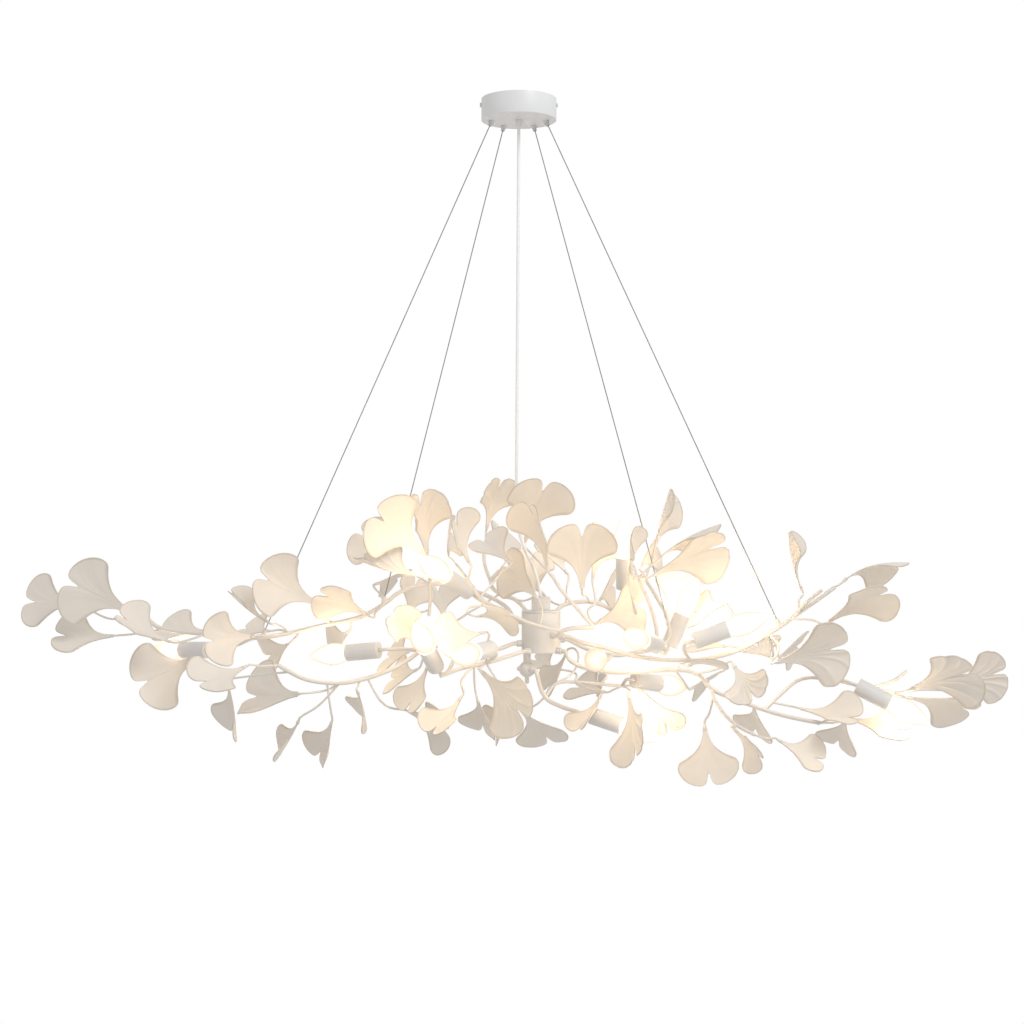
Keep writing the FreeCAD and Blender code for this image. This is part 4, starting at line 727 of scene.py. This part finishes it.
@dataclass(frozen=True)
class MetalFinish(Finish):
    """Bare bright or plated steel with fine drawn grain."""

    depth: float = 0.00005
    cloud: float = 60.0
    grain: float = 1500.0
    strength: float = 0.3
    metallic: float = 1.0


@dataclass(frozen=True)
class PlasticFinish(Finish):
    """Moulded plastic with a fine matt grain."""

    depth: float = 0.00004
    cloud: float = 40.0
    grain: float = 2200.0
    strength: float = 0.3


@dataclass(frozen=True)
class LitGlassFinish(Finish):
    """Frosted glass, lit from inside: a white core and a warm rim to the eye, and warm light on the leaves."""

    depth: float = 0.0
    cloud: float = 30.0
    grain: float = 1800.0
    core: Triple = (1.0, 0.95, 0.86)
    rim: Triple = (0.66, 0.52, 0.34)
    rim_blend: float = 0.4
    glow: Triple = (1.0, 0.76, 0.47)
    power: float = 13.0

    def coat(self, tree: Tree, tone: Socket, height: Socket) -> dict[str, object]:
        """Return the smooth glass's colour and what the eye sees of its light."""
        facing = added(tree, "LayerWeight", {"Blend": self.rim_blend}).outputs["Facing"]
        return {
            "Base Color": toned(tree, tone, self.low, self.high),
            "Emission Color": toned(tree, facing, self.core, self.rim),
            "Emission Strength": 1.0,
        }

    def material(self, spray: Tree) -> Material:
        """Make the finish, and let it light its surroundings more than it dazzles the eye."""
        finish = super().material(spray)
        tree = finish.node_tree
        light = added(tree, "Emission", {"Color": (*self.glow, 1), "Strength": self.power}).outputs["Emission"]
        seen = added(tree, "LightPath").outputs["Is Camera Ray"]
        end_in_mix(tree, "Material Output", seen, light, tree.nodes["Principled BSDF"].outputs["BSDF"])
        return finish


class Finishes:
    """All of the light's finishes, made once."""

    def __init__(self) -> None:
        """Build the shared groups and every finish."""
        spray = speckle_group()
        self.enamel = EnamelFinish(
            "white enamel", (0.73, 0.68, 0.62), (0.78, 0.73, 0.67), 0.42, 0.00002).material(spray)
        # The leaf enamel has a painted shade along each blade's rim
        self.blade = BladeFinish(
            "leaf enamel", (0.765, 0.705, 0.635), (0.815, 0.76, 0.69), 0.46, 0.000015,
            veins=Veins().group()).material(spray)
        self.fittings = EnamelFinish(
            "fittings enamel", (0.68, 0.665, 0.65), (0.73, 0.715, 0.70), 0.4, 0.00001).material(spray)
        self.canopy = EnamelFinish(
            "canopy enamel", (0.72, 0.73, 0.74), (0.75, 0.76, 0.77), 0.36, 0.00001).material(spray)
        self.plated = MetalFinish("plated steel", (0.50, 0.51, 0.53), (0.60, 0.61, 0.63), 0.34).material(spray)
        self.bright = MetalFinish("bright steel", (0.34, 0.33, 0.31), (0.42, 0.41, 0.39), 0.32).material(spray)
        self.satin = MetalFinish("satin steel", (0.62, 0.62, 0.61), (0.70, 0.70, 0.69), 0.45).material(spray)
        self.plastic = PlasticFinish("white plastic", (0.78, 0.77, 0.74), (0.83, 0.82, 0.79), 0.5).material(spray)
        self.sheath = PlasticFinish("cord sheath", (0.88, 0.88, 0.88), (0.90, 0.90, 0.90), 0.42).material(spray)
        self.glass = LitGlassFinish(
            "lit frosted glass", (0.25, 0.23, 0.20), (0.255, 0.2346, 0.204), 0.45).material(spray)


# Leaves and limbs


@dataclass(frozen=True)
class Ribs:
    """The ribs that run down a blade, with a soft swell under each."""

    places: tuple[float, ...] = (-0.80, -0.54, -0.27, 0.24, 0.52, 0.78)
    half_width: float = 0.034
    starts: float = 0.30
    whole: float = 0.66
    gather: float = 0.1
    sway: float = 0.035
    sway_turns: float = 5.5
    sway_step: float = 1.7
    swell: float = 0.35
    swell_width: float = 3.0

    def height(self, column: float, row: float, number: int) -> float:
        """Return how far the ribs and their swell stand up at a place on a blade.

        Args:
            column: share of the half width, from -1 on the left to 1 on the right.
            row: share of the length, from 0 at the neck to 1 at the rim.
            number: the leaf's number, on which the sway of its ribs depends.

        Returns:
            The height, as a share of a rib's.
        """
        fade = min(max((row - self.starts) / (self.whole - self.starts), 0.0), 1.0)
        height = 0.0
        for i, place in enumerate(self.places):
            sway = self.sway * math.sin(self.sway_turns * row + self.sway_step * i + number)
            off = (column - place * (1 - self.gather + self.gather * row) - sway) / self.half_width
            height += math.exp(-off * off) + self.swell * math.exp(-off * off / self.swell_width**2)
        return fade * fade * (3 - 2 * fade) * height


@dataclass
class BladePlace:
    """Where a leaf sits and how its blade is turned, bent and curled.

    Each edge, down the side and along the rim, is given by knots: share of its length, place across, place along.
    Each wave of the rim has its turns across the blade, its step from leaf to leaf and its share.
    """

    leaf: Leaf
    number: int
    side: tuple[Triple, ...] = ((0.0, 0.028, 0.0), (0.25, 0.055, 0.17), (0.5, 0.12, 0.32), (0.7, 0.22, 0.43),
                                (0.85, 0.35, 0.51), (1.0, 0.49, 0.56))
    rim: tuple[Triple, ...] = ((0.0, 0.0, 0.70), (0.143, 0.038, 0.95), (0.286, 0.12, 1.0), (0.429, 0.235, 0.99),
                               (0.571, 0.36, 0.94), (0.714, 0.47, 0.845), (0.857, 0.54, 0.715), (1.0, 0.52, 0.555))
    widest_share: float = 0.53
    ripple_share: float = 0.008
    waves: tuple[Triple, ...] = ((3.4, 2.4, 1.0), (5.7, 1.0, 0.6))
    least_curl: float = 0.002
    base: Vector = field(init=False)
    length: float = field(init=False)
    along: Vector = field(init=False)
    face: Vector = field(init=False)
    across: Vector = field(init=False)

    def __post_init__(self) -> None:
        """Tilt the leaf until its cast shows as long as it is seen, and turn its face."""
        leaf = self.leaf
        half = math.radians(leaf.bend) / 2
        chord = leaf.cast.value * (math.sin(half) / half)
        self.base, chord_way, shown = PICTURE.tilted(leaf.base, leaf.tip, leaf.depth, leaf.toward, chord)
        self.length = leaf.cast.value * max(shown / chord, 1.0)
        facing = (TO_EYE - chord_way * TO_EYE.dot(chord_way)).normalized()
        facing = Quaternion(chord_way, math.radians(leaf.roll)) @ facing
        self.along = chord_way * math.cos(half) - facing * math.sin(half)
        self.face = facing * math.cos(half) + chord_way * math.sin(half)
        self.across = self.along.cross(self.face)

    @staticmethod
    def between(knots: tuple[Triple, ...], share: float) -> Pair:
        """Return how far across and along an edge is at a share of the way down it."""
        for (low, low_x, low_y), (high, high_x, high_y) in zip(knots, knots[1:]):
            if share <= high:
                part = (share - low) / (high - low)
                return low_x + part * (high_x - low_x), low_y + part * (high_y - low_y)
        return knots[-1][1:]

    def point(self, column: float, row: float) -> Vector:
        """Return a place on the curled and bent blade.

        Args:
            column: share of the half width, from -1 on the left to 1 on the right.
            row: share of the length, from 0 at the neck to 1 at the rim.

        Returns:
            The place, in metres.
        """
        rim_across, rim_along = self.between(self.rim, abs(column))
        side_across, side_along = self.between(self.side, row)
        _, corner_across, corner_along = self.side[-1]
        half_width = self.length * self.widest_share * side_across / corner_across
        curl = self.leaf.curl.left if column < 0 else self.leaf.curl.right
        arc = half_width / max(math.radians(curl) * row, self.least_curl)
        turn = self.length * rim_across * side_across / corner_across / arc
        x = math.copysign(arc * math.sin(turn), column)
        y = self.length * rim_along * side_along / corner_along
        wave = sum(share * math.sin(turns * math.pi * column + self.number * step) for turns, step, share in self.waves)
        z = arc * (1 - math.cos(turn)) + self.length * self.ripple_share * wave * row * row
        radius = self.length / math.radians(self.leaf.bend)
        angle = y / radius
        bent_y = (radius - z) * math.sin(angle)
        bent_z = radius - (radius - z) * math.cos(angle)
        return self.base + self.across * x + self.along * bent_y + self.face * bent_z


@dataclass
class LampPlace:
    """Where a lamp holder sits and the way its bulb points."""

    lamp: Lamp
    back: Vector = field(init=False)
    way: Vector = field(init=False)

    def __post_init__(self) -> None:
        """Tilt the holder until its length shows as it is seen."""
        lamp = self.lamp
        self.back, self.way, _ = PICTURE.tilted(lamp.back, lamp.mouth, lamp.depth, lamp.toward, HOLDER_LENGTH)


def on_bars(group: Group, column: float, row: float) -> Vector:
    """Return the place on a limb's bars that shows nearest to a picture point.

    Args:
        group: the limb.
        column: picture column, in pixels.
        row: picture row, in pixels.

    Returns:
        The place, in metres.
    """
    best, spot = math.inf, (0.0, 0.0, 0.0)
    for bar in group.bars:
        for start, end in zip(bar.route, bar.route[1:]):
            span = (end[0] - start[0]) ** 2 + (end[1] - start[1]) ** 2
            part = ((column - start[0]) * (end[0] - start[0]) + (row - start[1]) * (end[1] - start[1])) / span
            part = min(max(part, 0.0), 1.0)
            here = tuple(a + part * (b - a) for a, b in zip(start, end))
            gap = math.hypot(here[0] - column, here[1] - row)
            if gap < best:
                best, spot = gap, here
    return PICTURE.point(*spot)


@dataclass
class Hub:
    """The hub: drum, cap with its cord neck, rod and ball, and the boss of each limb."""

    column: float = 541.0
    top_row: float = 612.0
    rod_column: float = 527.0
    radius: float = 0.031
    height: float = 0.064
    foot_width: float = 0.004
    neck_radius: float = 0.015
    neck_height: float = 0.022
    plate: float = 0.0025
    rod_radius: float = 0.006
    rod_length: float = 0.034
    rod_seat_share: float = 0.90
    ball_radius: float = 0.013
    ball_angles: range = range(-66, 63, 12)
    finial_radius: float = 0.0035
    finial_length: float = 0.010
    finial_seat_share: float = 0.97
    finial_end_share: float = 0.6
    finial_end_length: float = 0.0015
    boss_length: float = 0.009
    boss_radius: float = 0.0052
    boss_inset: float = 0.003

    @property
    def top(self) -> Vector:
        """Return the middle of the drum's top."""
        return PICTURE.point(self.column, self.top_row)

    @property
    def ball_middle(self) -> Vector:
        """Return the middle of the ball."""
        rise = self.top.z - self.height - self.rod_length + self.ball_radius / 2
        return Vector((PICTURE.point(self.rod_column, self.top_row).x, 0, rise))

    def boss_way(self, group: Group) -> Vector:
        """Return the level direction in which a limb leaves the hub."""
        turn = math.radians(group.boss[0])
        return Vector((math.cos(turn), math.sin(turn), 0))

    def boss_middle(self, group: Group) -> tuple[Vector, float]:
        """Return the middle of the piece that carries a limb's boss, and its radius."""
        if group is GROUPS["bottom"]:
            return self.ball_middle, self.ball_radius
        return PICTURE.point(self.column, group.boss[1]), self.radius

    def boss_end(self, group: Group) -> Vector:
        """Return the outer end of a limb's boss."""
        middle, side = self.boss_middle(group)
        return middle + self.boss_way(group) * (side + self.boss_length)

    def boss(self, group: Group) -> Piece:
        """Model a limb's boss, a short round stub with a soft edge."""
        middle, side = self.boss_middle(group)
        outline = [(self.boss_radius, 0.0), (self.boss_radius, self.boss_inset + self.boss_length)]
        way = self.boss_way(group)
        stub = turned("boss", outline, sides=20, rounding=0.0007)
        return stood(stub, middle + way * (side - self.boss_inset), way)

    def build(self, finishes: Finishes) -> None:
        """Model the drum, the cap and the rod."""
        foot = -self.height
        drum = turned("drum", [(self.radius - self.foot_width, foot), (self.radius, foot), (self.radius, 0.0)],
                      sides=56, rounding=0.0018)
        bosses = [self.boss(group) for name, group in GROUPS.items() if name != "bottom"]
        fix(joined("hub_drum_dressed", [stood(drum, self.top)] + bosses), finishes.fittings, "hub_drum")
        neck = self.plate + self.neck_height
        cap = turned("hub_cap_dressed", [
            (CORD_BORE, 0.0), (self.radius, 0.0), (self.radius, self.plate), (self.neck_radius, self.plate),
            (self.neck_radius, neck), (CORD_BORE, neck)], sides=56, closed=True, rounding=0.0009)
        fix(stood(cap, self.top), finishes.fittings, "hub_cap")
        ball, end = self.ball_radius, -self.ball_radius - self.finial_length
        outline = [(self.finial_radius * self.finial_end_share, end),
                   (self.finial_radius, end + self.finial_end_length),
                   (self.finial_radius, -ball * self.finial_seat_share)]
        outline += [(ball * math.cos(math.radians(a)), ball * math.sin(math.radians(a))) for a in self.ball_angles]
        outline += [(self.rod_radius, ball * self.rod_seat_share),
                    (self.rod_radius, self.top.z - self.height - self.ball_middle.z)]
        rod = stood(turned("rod", outline, sides=32), self.ball_middle)
        fix(joined("hub_rod_dressed", [rod, self.boss(GROUPS["bottom"])]), finishes.fittings, "hub_rod")


# The leaves of each limb, counted from 0, that hang with their ribbed side out

RIBBED: dict[str, tuple[int, ...]] = {
    "upper_left": (15, 16),
    "lower_left": (10,),
    "front_left": (1,),
    "top_left": (0,),
    "right_cluster": (2,),
    "upper_right": (3,),
    "lower_right": (0, 10, 11),
    "bottom": (2, 3),
}


@dataclass
class LimbWork:
    """One welded limb with its twigs, ferrules and lamp tubes, and the leaves on it.

    Each step of the ferrule has its reach along the blade and its radius.
    """

    name: str
    group: Group
    hub: Hub
    twig_radius: float = 0.0017
    ferrule_length: float = 0.009
    ferrule: tuple[Pair, ...] = ((-0.0045, 0.0017), (-0.0035, 0.0024), (0.0, 0.0027), (0.0035, 0.0027),
                                 (0.0045, 0.0016))
    lug_radius: float = 0.0034
    lug_length: float = 0.013
    lug_bore: float = 0.0012
    lug_floor_share: float = 0.6
    sheet: float = 0.0015
    ribs: Ribs = Ribs()
    rib_height: float = 0.0012
    faint_rib_height: float = 0.00018

    def bar_runs(self) -> list[Run]:
        """Return the limb's bars, the first one from its boss."""
        runs = []
        for i, bar in enumerate(self.group.bars):
            places = [PICTURE.point(*p) for p in bar.route]
            if i == 0:
                end = self.hub.boss_end(self.group)
                places = [end, end + self.hub.boss_way(self.group) * self.hub.boss_length / 2] + places
            runs.append(Run(places, [BAR_RADII[bar.kind]] * len(places)))
        return runs

    def stem_start(self, stem: tuple) -> list[Vector]:
        """Return a stem's places as far as its last drawn turn."""
        return [on_bars(self.group, *stem[0])] + [PICTURE.point(*p) for p in stem[1:]]

    def leaf_runs(self, blades: list[BladePlace]) -> list[Run]:
        """Return the twig of each leaf, swelling to the ferrule that holds the blade's neck."""
        runs = []
        for blade in blades:
            places = self.stem_start(blade.leaf.stem) + [blade.base - blade.along * self.ferrule_length]
            radii = [self.twig_radius] * len(places) + [radius for _, radius in self.ferrule]
            runs.append(Run(places + [blade.base + blade.along * reach for reach, _ in self.ferrule], radii))
        return runs

    def lamp_runs(self) -> list[Run]:
        """Return the tube that carries each lamp holder."""
        runs = []
        for lamp in self.group.lamps:
            place = LampPlace(lamp)
            places = self.stem_start(lamp.stem) + [place.back - place.way * self.ferrule_length, place.back]
            runs.append(Run(places, [BAR_RADII["limb"]] * len(places)))
        return runs

    def blade(self, place: BladePlace, ribbed: bool) -> Piece:
        """Shape a blade from a divided plane, round its outline and raise its ribs.

        Args:
            place: where the leaf sits.
            ribbed: whether it hangs with its ribbed side out.

        Returns:
            An open sheet.
        """
        clear_selection()
        bpy.ops.mesh.primitive_grid_add(x_subdivisions=28 if ribbed else 14, y_subdivisions=8, size=2)
        sheet = bpy.context.active_object
        sheet.name = f"blade_{place.number}"
        for vertex in sheet.data.vertices:
            vertex.co = place.point(vertex.co.x, (vertex.co.y + 1) / 2)
        apply(sheet, "SUBSURF", levels=2, render_levels=2, boundary_smooth="ALL")
        rib_height = self.rib_height if ribbed else self.faint_rib_height
        spots = sheet.data.uv_layers.active.data
        shares = {loop.vertex_index: spots[loop.index].uv for loop in sheet.data.loops}
        ways = [vertex.normal.copy() for vertex in sheet.data.vertices]
        for vertex, way in zip(sheet.data.vertices, ways):
            column, row = shares[vertex.index]
            vertex.co += way * rib_height * self.ribs.height(2 * column - 1, row, place.number)
        return sheet

    def lug(self, wire: "Wire") -> Piece:
        """Model the lug that holds a wire's lower end."""
        outline = [(self.lug_radius, 0.0), (self.lug_radius, self.lug_length), (self.lug_bore, self.lug_length),
                   (self.lug_bore, self.lug_length * self.lug_floor_share)]
        lug = turned("lug", outline, sides=20, rounding=0.0005)
        return stood(lug, on_bars(self.group, wire.column, wire.row), wire.up)

    def build(self, finishes: Finishes, first_number: int) -> int:
        """Model the limb and its leaves.

        Args:
            finishes: the light's finishes.
            first_number: the number of its first leaf.

        Returns:
            The number of the next limb's first leaf.
        """
        places = [BladePlace(leaf, first_number + i) for i, leaf in enumerate(self.group.leaves)]
        thick = bent_bars("bars", self.bar_runs() + self.lamp_runs(), fineness=4)
        thin = bent_bars("twigs", self.leaf_runs(places), fineness=3)
        lugs = [self.lug(wire) for wire in WIRES if wire.limb == self.name]
        fix(joined(f"limb_{self.name}", [thick, thin] + lugs), finishes.enamel, f"branch_{self.name}")
        ribbed = RIBBED.get(self.name, ())
        leaves = joined(f"leaf_set_{self.name}", [self.blade(place, i in ribbed) for i, place in enumerate(places)])
        apply(leaves, "SOLIDIFY", thickness=self.sheet, offset=0.0)
        fix(smoothed(leaves, BENT_SMOOTH), finishes.blade, f"leaves_{self.name}")
        return first_number + len(places)


# Ceiling end, wires and cord


class Ring(Enum):
    """How far sideways and how far back the wires of each pair leave the canopy."""

    INNER = (0.024, 0.035)
    OUTER = (0.043, 0.0)


class Wire(NamedTuple):
    """A suspension wire: its side, its pair on the canopy and where it meets its limb."""

    side: int
    ring: Ring
    limb: str
    column: float
    row: float

    @property
    def seat(self) -> Vector:
        """Return where the wire crosses the canopy's underside."""
        sideways, back = self.ring.value
        return Vector((self.side * sideways, back, -CANOPY_HEIGHT))

    @property
    def up(self) -> Vector:
        """Return the way up along the wire."""
        return (self.seat - on_bars(GROUPS[self.limb], self.column, self.row)).normalized()


WIRES = (
    Wire(-1, Ring.OUTER, "upper_left", 262.0, 637.0),
    Wire(-1, Ring.INNER, "upper_left", 383.0, 604.5),
    Wire(1, Ring.INNER, "right_cluster", 667.0, 618.0),
    Wire(1, Ring.OUTER, "upper_right", 780.0, 626.4),
)

CORD_ROUTE_PX = ((516.6, 480, 0), (516, 532, 0), (541, 582, 0))


@dataclass
class CeilingMount:
    """The canopy, the wire grips and the cord gland."""

    radius: float = 0.060
    wall: float = 0.0015
    slack: float = 0.0005
    middle_hole: float = 0.0006
    grip_bore: float = 0.0035
    grip_radius: float = 0.0062
    grip_height: float = 0.012
    grip_neck_radius: float = 0.0044
    grip_neck_height: float = 0.009
    gland_radius: float = 0.005
    gland_height: float = 0.012
    gland_end_share: float = 0.86
    gland_taper_share: float = 0.8
    gland_sleeve_radius: float = 0.0042
    gland_sleeve_height: float = 0.0055

    def grips(self) -> Piece:
        """Model one grip and stand a copy of it on each wire."""
        low, high = -self.grip_neck_height / 2, self.grip_neck_height / 2
        end = high + self.grip_height
        model = turned("grip", [
            (self.grip_bore, low), (self.grip_neck_radius, low), (self.grip_neck_radius, high),
            (self.grip_radius, high), (self.grip_radius, end), (self.grip_bore, end)],
            sides=32, closed=True, rounding=0.0005)
        grips = [stood(copied(model, f"grip_{i}"), wire.seat, wire.up) for i, wire in enumerate(WIRES)]
        bpy.data.objects.remove(model)
        return joined("grips_dressed", grips)

    def build(self, finishes: Finishes, nodes: dict[str, Piece]) -> None:
        """Model the canopy, the grips and the gland, and dress what stays as it is.

        Args:
            finishes: the light's finishes.
            nodes: the plain nodes by name.
        """
        inner, foot = self.radius - self.wall, -CANOPY_HEIGHT
        canopy = turned("canopy_dressed", [
            (inner, -self.slack), (self.radius, -self.slack), (self.radius, foot), (self.middle_hole, foot),
            (self.middle_hole, foot + self.wall), (inner, foot + self.wall)],
            sides=96, closed=True, rounding=0.0012)
        fix(canopy, finishes.canopy, "canopy_cup", "ceiling_mount")
        fix(self.grips(), finishes.satin, "wire_grips", "ceiling_mount")
        gland = turned("gland_dressed", [
            (CORD_BORE, foot - self.gland_height), (self.gland_radius * self.gland_end_share, foot - self.gland_height),
            (self.gland_radius, foot - self.gland_height * self.gland_taper_share),
            (self.gland_radius + self.wall, foot), (self.gland_sleeve_radius, foot),
            (self.gland_sleeve_radius, foot + self.gland_sleeve_height),
            (CORD_BORE, foot + self.gland_sleeve_height)], sides=32, closed=True, rounding=0.0004)
        fix(gland, finishes.plastic, "cord_gland", "ceiling_mount")
        kept = {"ceiling_bracket": finishes.plated, "canopy_screws": finishes.canopy}
        kept |= dict.fromkeys(("suspension_wires", "hub_set_screw"), finishes.bright)
        kept |= dict.fromkeys(("terminal_block", "gland_nut", "lamp_sockets"), finishes.plastic)
        kept |= {f"grip_plunger_{i}": finishes.satin for i in range(1, len(WIRES) + 1)}
        for name, finish in kept.items():
            dress(nodes[name], finish)


@dataclass
class PowerCord:
    """The power cord, from the terminal block straight down and in an easy bend to the hub's neck."""

    diameter: float = 0.005
    length: float = 0.80
    start: Vector = field(default_factory=lambda: Vector((0, 0, -0.016)))

    def build(self, finishes: Finishes, hub: Hub) -> None:
        """Draw the cord as one smooth line."""
        places = [self.start] + [PICTURE.point(*p) for p in CORD_ROUTE_PX]
        places.append(hub.top + UP * (hub.plate + hub.neck_height / 2))
        line = bpy.data.curves.new("power_cord_dressed", "CURVE")
        line.dimensions = "3D"
        line.bevel_depth = self.diameter / 2
        line.bevel_resolution = 4
        line.resolution_u = 24
        line.use_fill_caps = True
        spline = line.splines.new("NURBS")
        spline.points.add(len(places) - 1)
        for point, place in zip(spline.points, places):
            point.co = (*place, 1)
        spline.order_u = 3
        spline.use_endpoint_u = True
        cord = bpy.data.objects.new("power_cord_dressed", line)
        bpy.context.scene.collection.objects.link(cord)
        fix(cord, finishes.sheath, "power_cord")


# Lamps


@dataclass
class LampWork:
    """The lamp holders and their bulbs.

    Each step of the glass has its share of the glass's length and its radius.
    """

    holder_radius: float = 0.0132
    holder_wall: float = 0.0009
    holder_bore: float = 0.0034
    back: float = 0.002
    socket_length: float = 0.046
    cap_radius: float = 0.007
    cap_length: float = 0.024
    clearance: float = 0.0004
    glass_length: float = 0.075
    glass: tuple[Pair, ...] = (
        (0.0, 0.0088), (0.05, 0.0098), (0.14, 0.0130), (0.26, 0.0160), (0.38, 0.0174), (0.48, 0.0172), (0.60, 0.0154),
        (0.72, 0.0124), (0.83, 0.0088), (0.91, 0.0056), (0.965, 0.0032), (0.99, 0.0018), (1.0, 0.0008))

    def holder(self) -> Piece:
        """Model one holder's sleeve, closed at the back, with a soft lip."""
        inner = self.holder_radius - self.holder_wall
        outline = [(self.holder_bore, 0.0), (self.holder_radius, 0.0), (self.holder_radius, HOLDER_LENGTH),
                   (inner, HOLDER_LENGTH), (inner, self.back), (self.holder_bore, self.back)]
        return turned("holder", outline, sides=48, closed=True, rounding=0.00035)

    def bulb(self) -> Piece:
        """Model one candle bulb: screw cap, and glass that swells and draws in to its tip."""
        seat = self.back + self.socket_length + self.clearance
        outline = [(self.cap_radius, seat - self.cap_length), (self.cap_radius, seat)]
        outline += [(radius, seat + share * self.glass_length) for share, radius in self.glass]
        return turned("bulb", outline, sides=36)

    def build(self, finishes: Finishes) -> None:
        """Place a holder and a bulb at every lamp."""
        holder, bulb = self.holder(), self.bulb()
        places = [LampPlace(lamp) for group in GROUPS.values() for lamp in group.lamps]
        holders = [stood(copied(holder, f"holder_{i}"), at.back, at.way) for i, at in enumerate(places, start=1)]
        fix(joined("lamp_holders_dressed", holders), finishes.fittings, "lamp_sleeves")
        for i, place in enumerate(places, start=1):
            lit = stood(copied(bulb, f"lit_bulb_{i}"), place.back, place.way)
            fix(lit, finishes.glass, f"bulb_{i}", f"screw_bulb_{i}")
        for model in (holder, bulb):
            bpy.data.objects.remove(model)


# Studio


@dataclass
class Studio:
    """Plain pale floor and backdrop, soft light and the camera."""

    floor_drop: float = 2.2
    floor_size: float = 12.0
    floor_colour: tuple = (0.8, 0.8, 0.8, 1)
    soft_colour: tuple = (1.0, 0.99, 0.975, 1)
    background: float = 0.73
    key_place: Triple = (1.5, -1.9, 1.5)
    key_size: float = 1.2
    key_power: float = 36.0
    sensor_width: float = 36.0

    def surface(self) -> Material:
        """Make the floor's finish: white to the eye, plain matt to the light."""
        finish, tree, shader = new_finish("backdrop")
        feed(tree, shader, {"Base Color": self.floor_colour, "Roughness": 1.0})
        white = added(tree, "Emission", {"Color": WHITE, "Strength": 1.0}).outputs["Emission"]
        path = added(tree, "LightPath").outputs
        seen = worked_out(tree, "MAXIMUM", path["Is Camera Ray"], path["Is Glossy Ray"])
        end_in_mix(tree, "Material Output", seen, shader.outputs["BSDF"], white)
        return finish

    def floor(self) -> None:
        """Lay the floor, far below the light."""
        clear_selection()
        bpy.ops.mesh.primitive_plane_add(size=self.floor_size, location=(0, 0, -self.floor_drop))
        floor = bpy.context.active_object
        floor.name = "floor"
        dress(floor, self.surface())

    def world(self) -> None:
        """Light the room evenly, and show white behind it."""
        world = bpy.data.worlds.new("plain light")
        bpy.context.scene.world = world
        world.use_nodes = True
        tree = world.node_tree
        soft = tree.nodes["Background"]
        feed(tree, soft, {"Color": self.soft_colour, "Strength": self.background})
        white = added(tree, "Background", {"Color": WHITE}).outputs["Background"]
        seen = added(tree, "LightPath").outputs["Is Camera Ray"]
        end_in_mix(tree, "World Output", seen, soft.outputs["Background"], white)

    def key_light(self) -> None:
        """Hang a large soft lamp that looks at the middle of the branches."""
        clear_selection()
        bpy.ops.object.light_add(type="AREA", location=self.key_place)
        lamp = bpy.context.active_object
        lamp.name = "key"
        lamp.data.size = self.key_size
        lamp.data.energy = self.key_power
        lamp.rotation_mode = "QUATERNION"
        lamp.rotation_quaternion = (-UP * PICTURE.drop - Vector(self.key_place)).to_track_quat("-Z", "Y")

    def camera(self) -> None:
        """Stand the camera at the picture's eye, level, with the picture's field of view."""
        clear_selection()
        bpy.ops.object.camera_add(location=PICTURE.eye, rotation=(math.pi / 2, 0, 0))
        camera = bpy.context.active_object
        camera.data.sensor_width = self.sensor_width
        camera.data.lens = self.sensor_width * PICTURE.eye_distance_px / PICTURE.width
        bpy.context.scene.camera = camera

    def build(self) -> None:
        """Set the floor, the light and the camera."""
        self.floor()
        self.world()
        self.key_light()
        self.camera()


def main() -> None:
    """Build and dress the light, sub-assembly by sub-assembly."""
    logging.basicConfig(level=logging.INFO, format="%(message)s")
    bpy.context.scene.view_settings.view_transform = "Standard"
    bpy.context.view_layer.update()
    finishes = Finishes()
    hub = Hub()
    CeilingMount().build(finishes, frame["nodes"])
    PowerCord().build(finishes, hub)
    hub.build(finishes)
    number = 1
    for name, group in GROUPS.items():
        number = LimbWork(name, group, hub).build(finishes, number)
    LampWork().build(finishes)
    Studio().build()


if __name__ == "__main__":
    main()
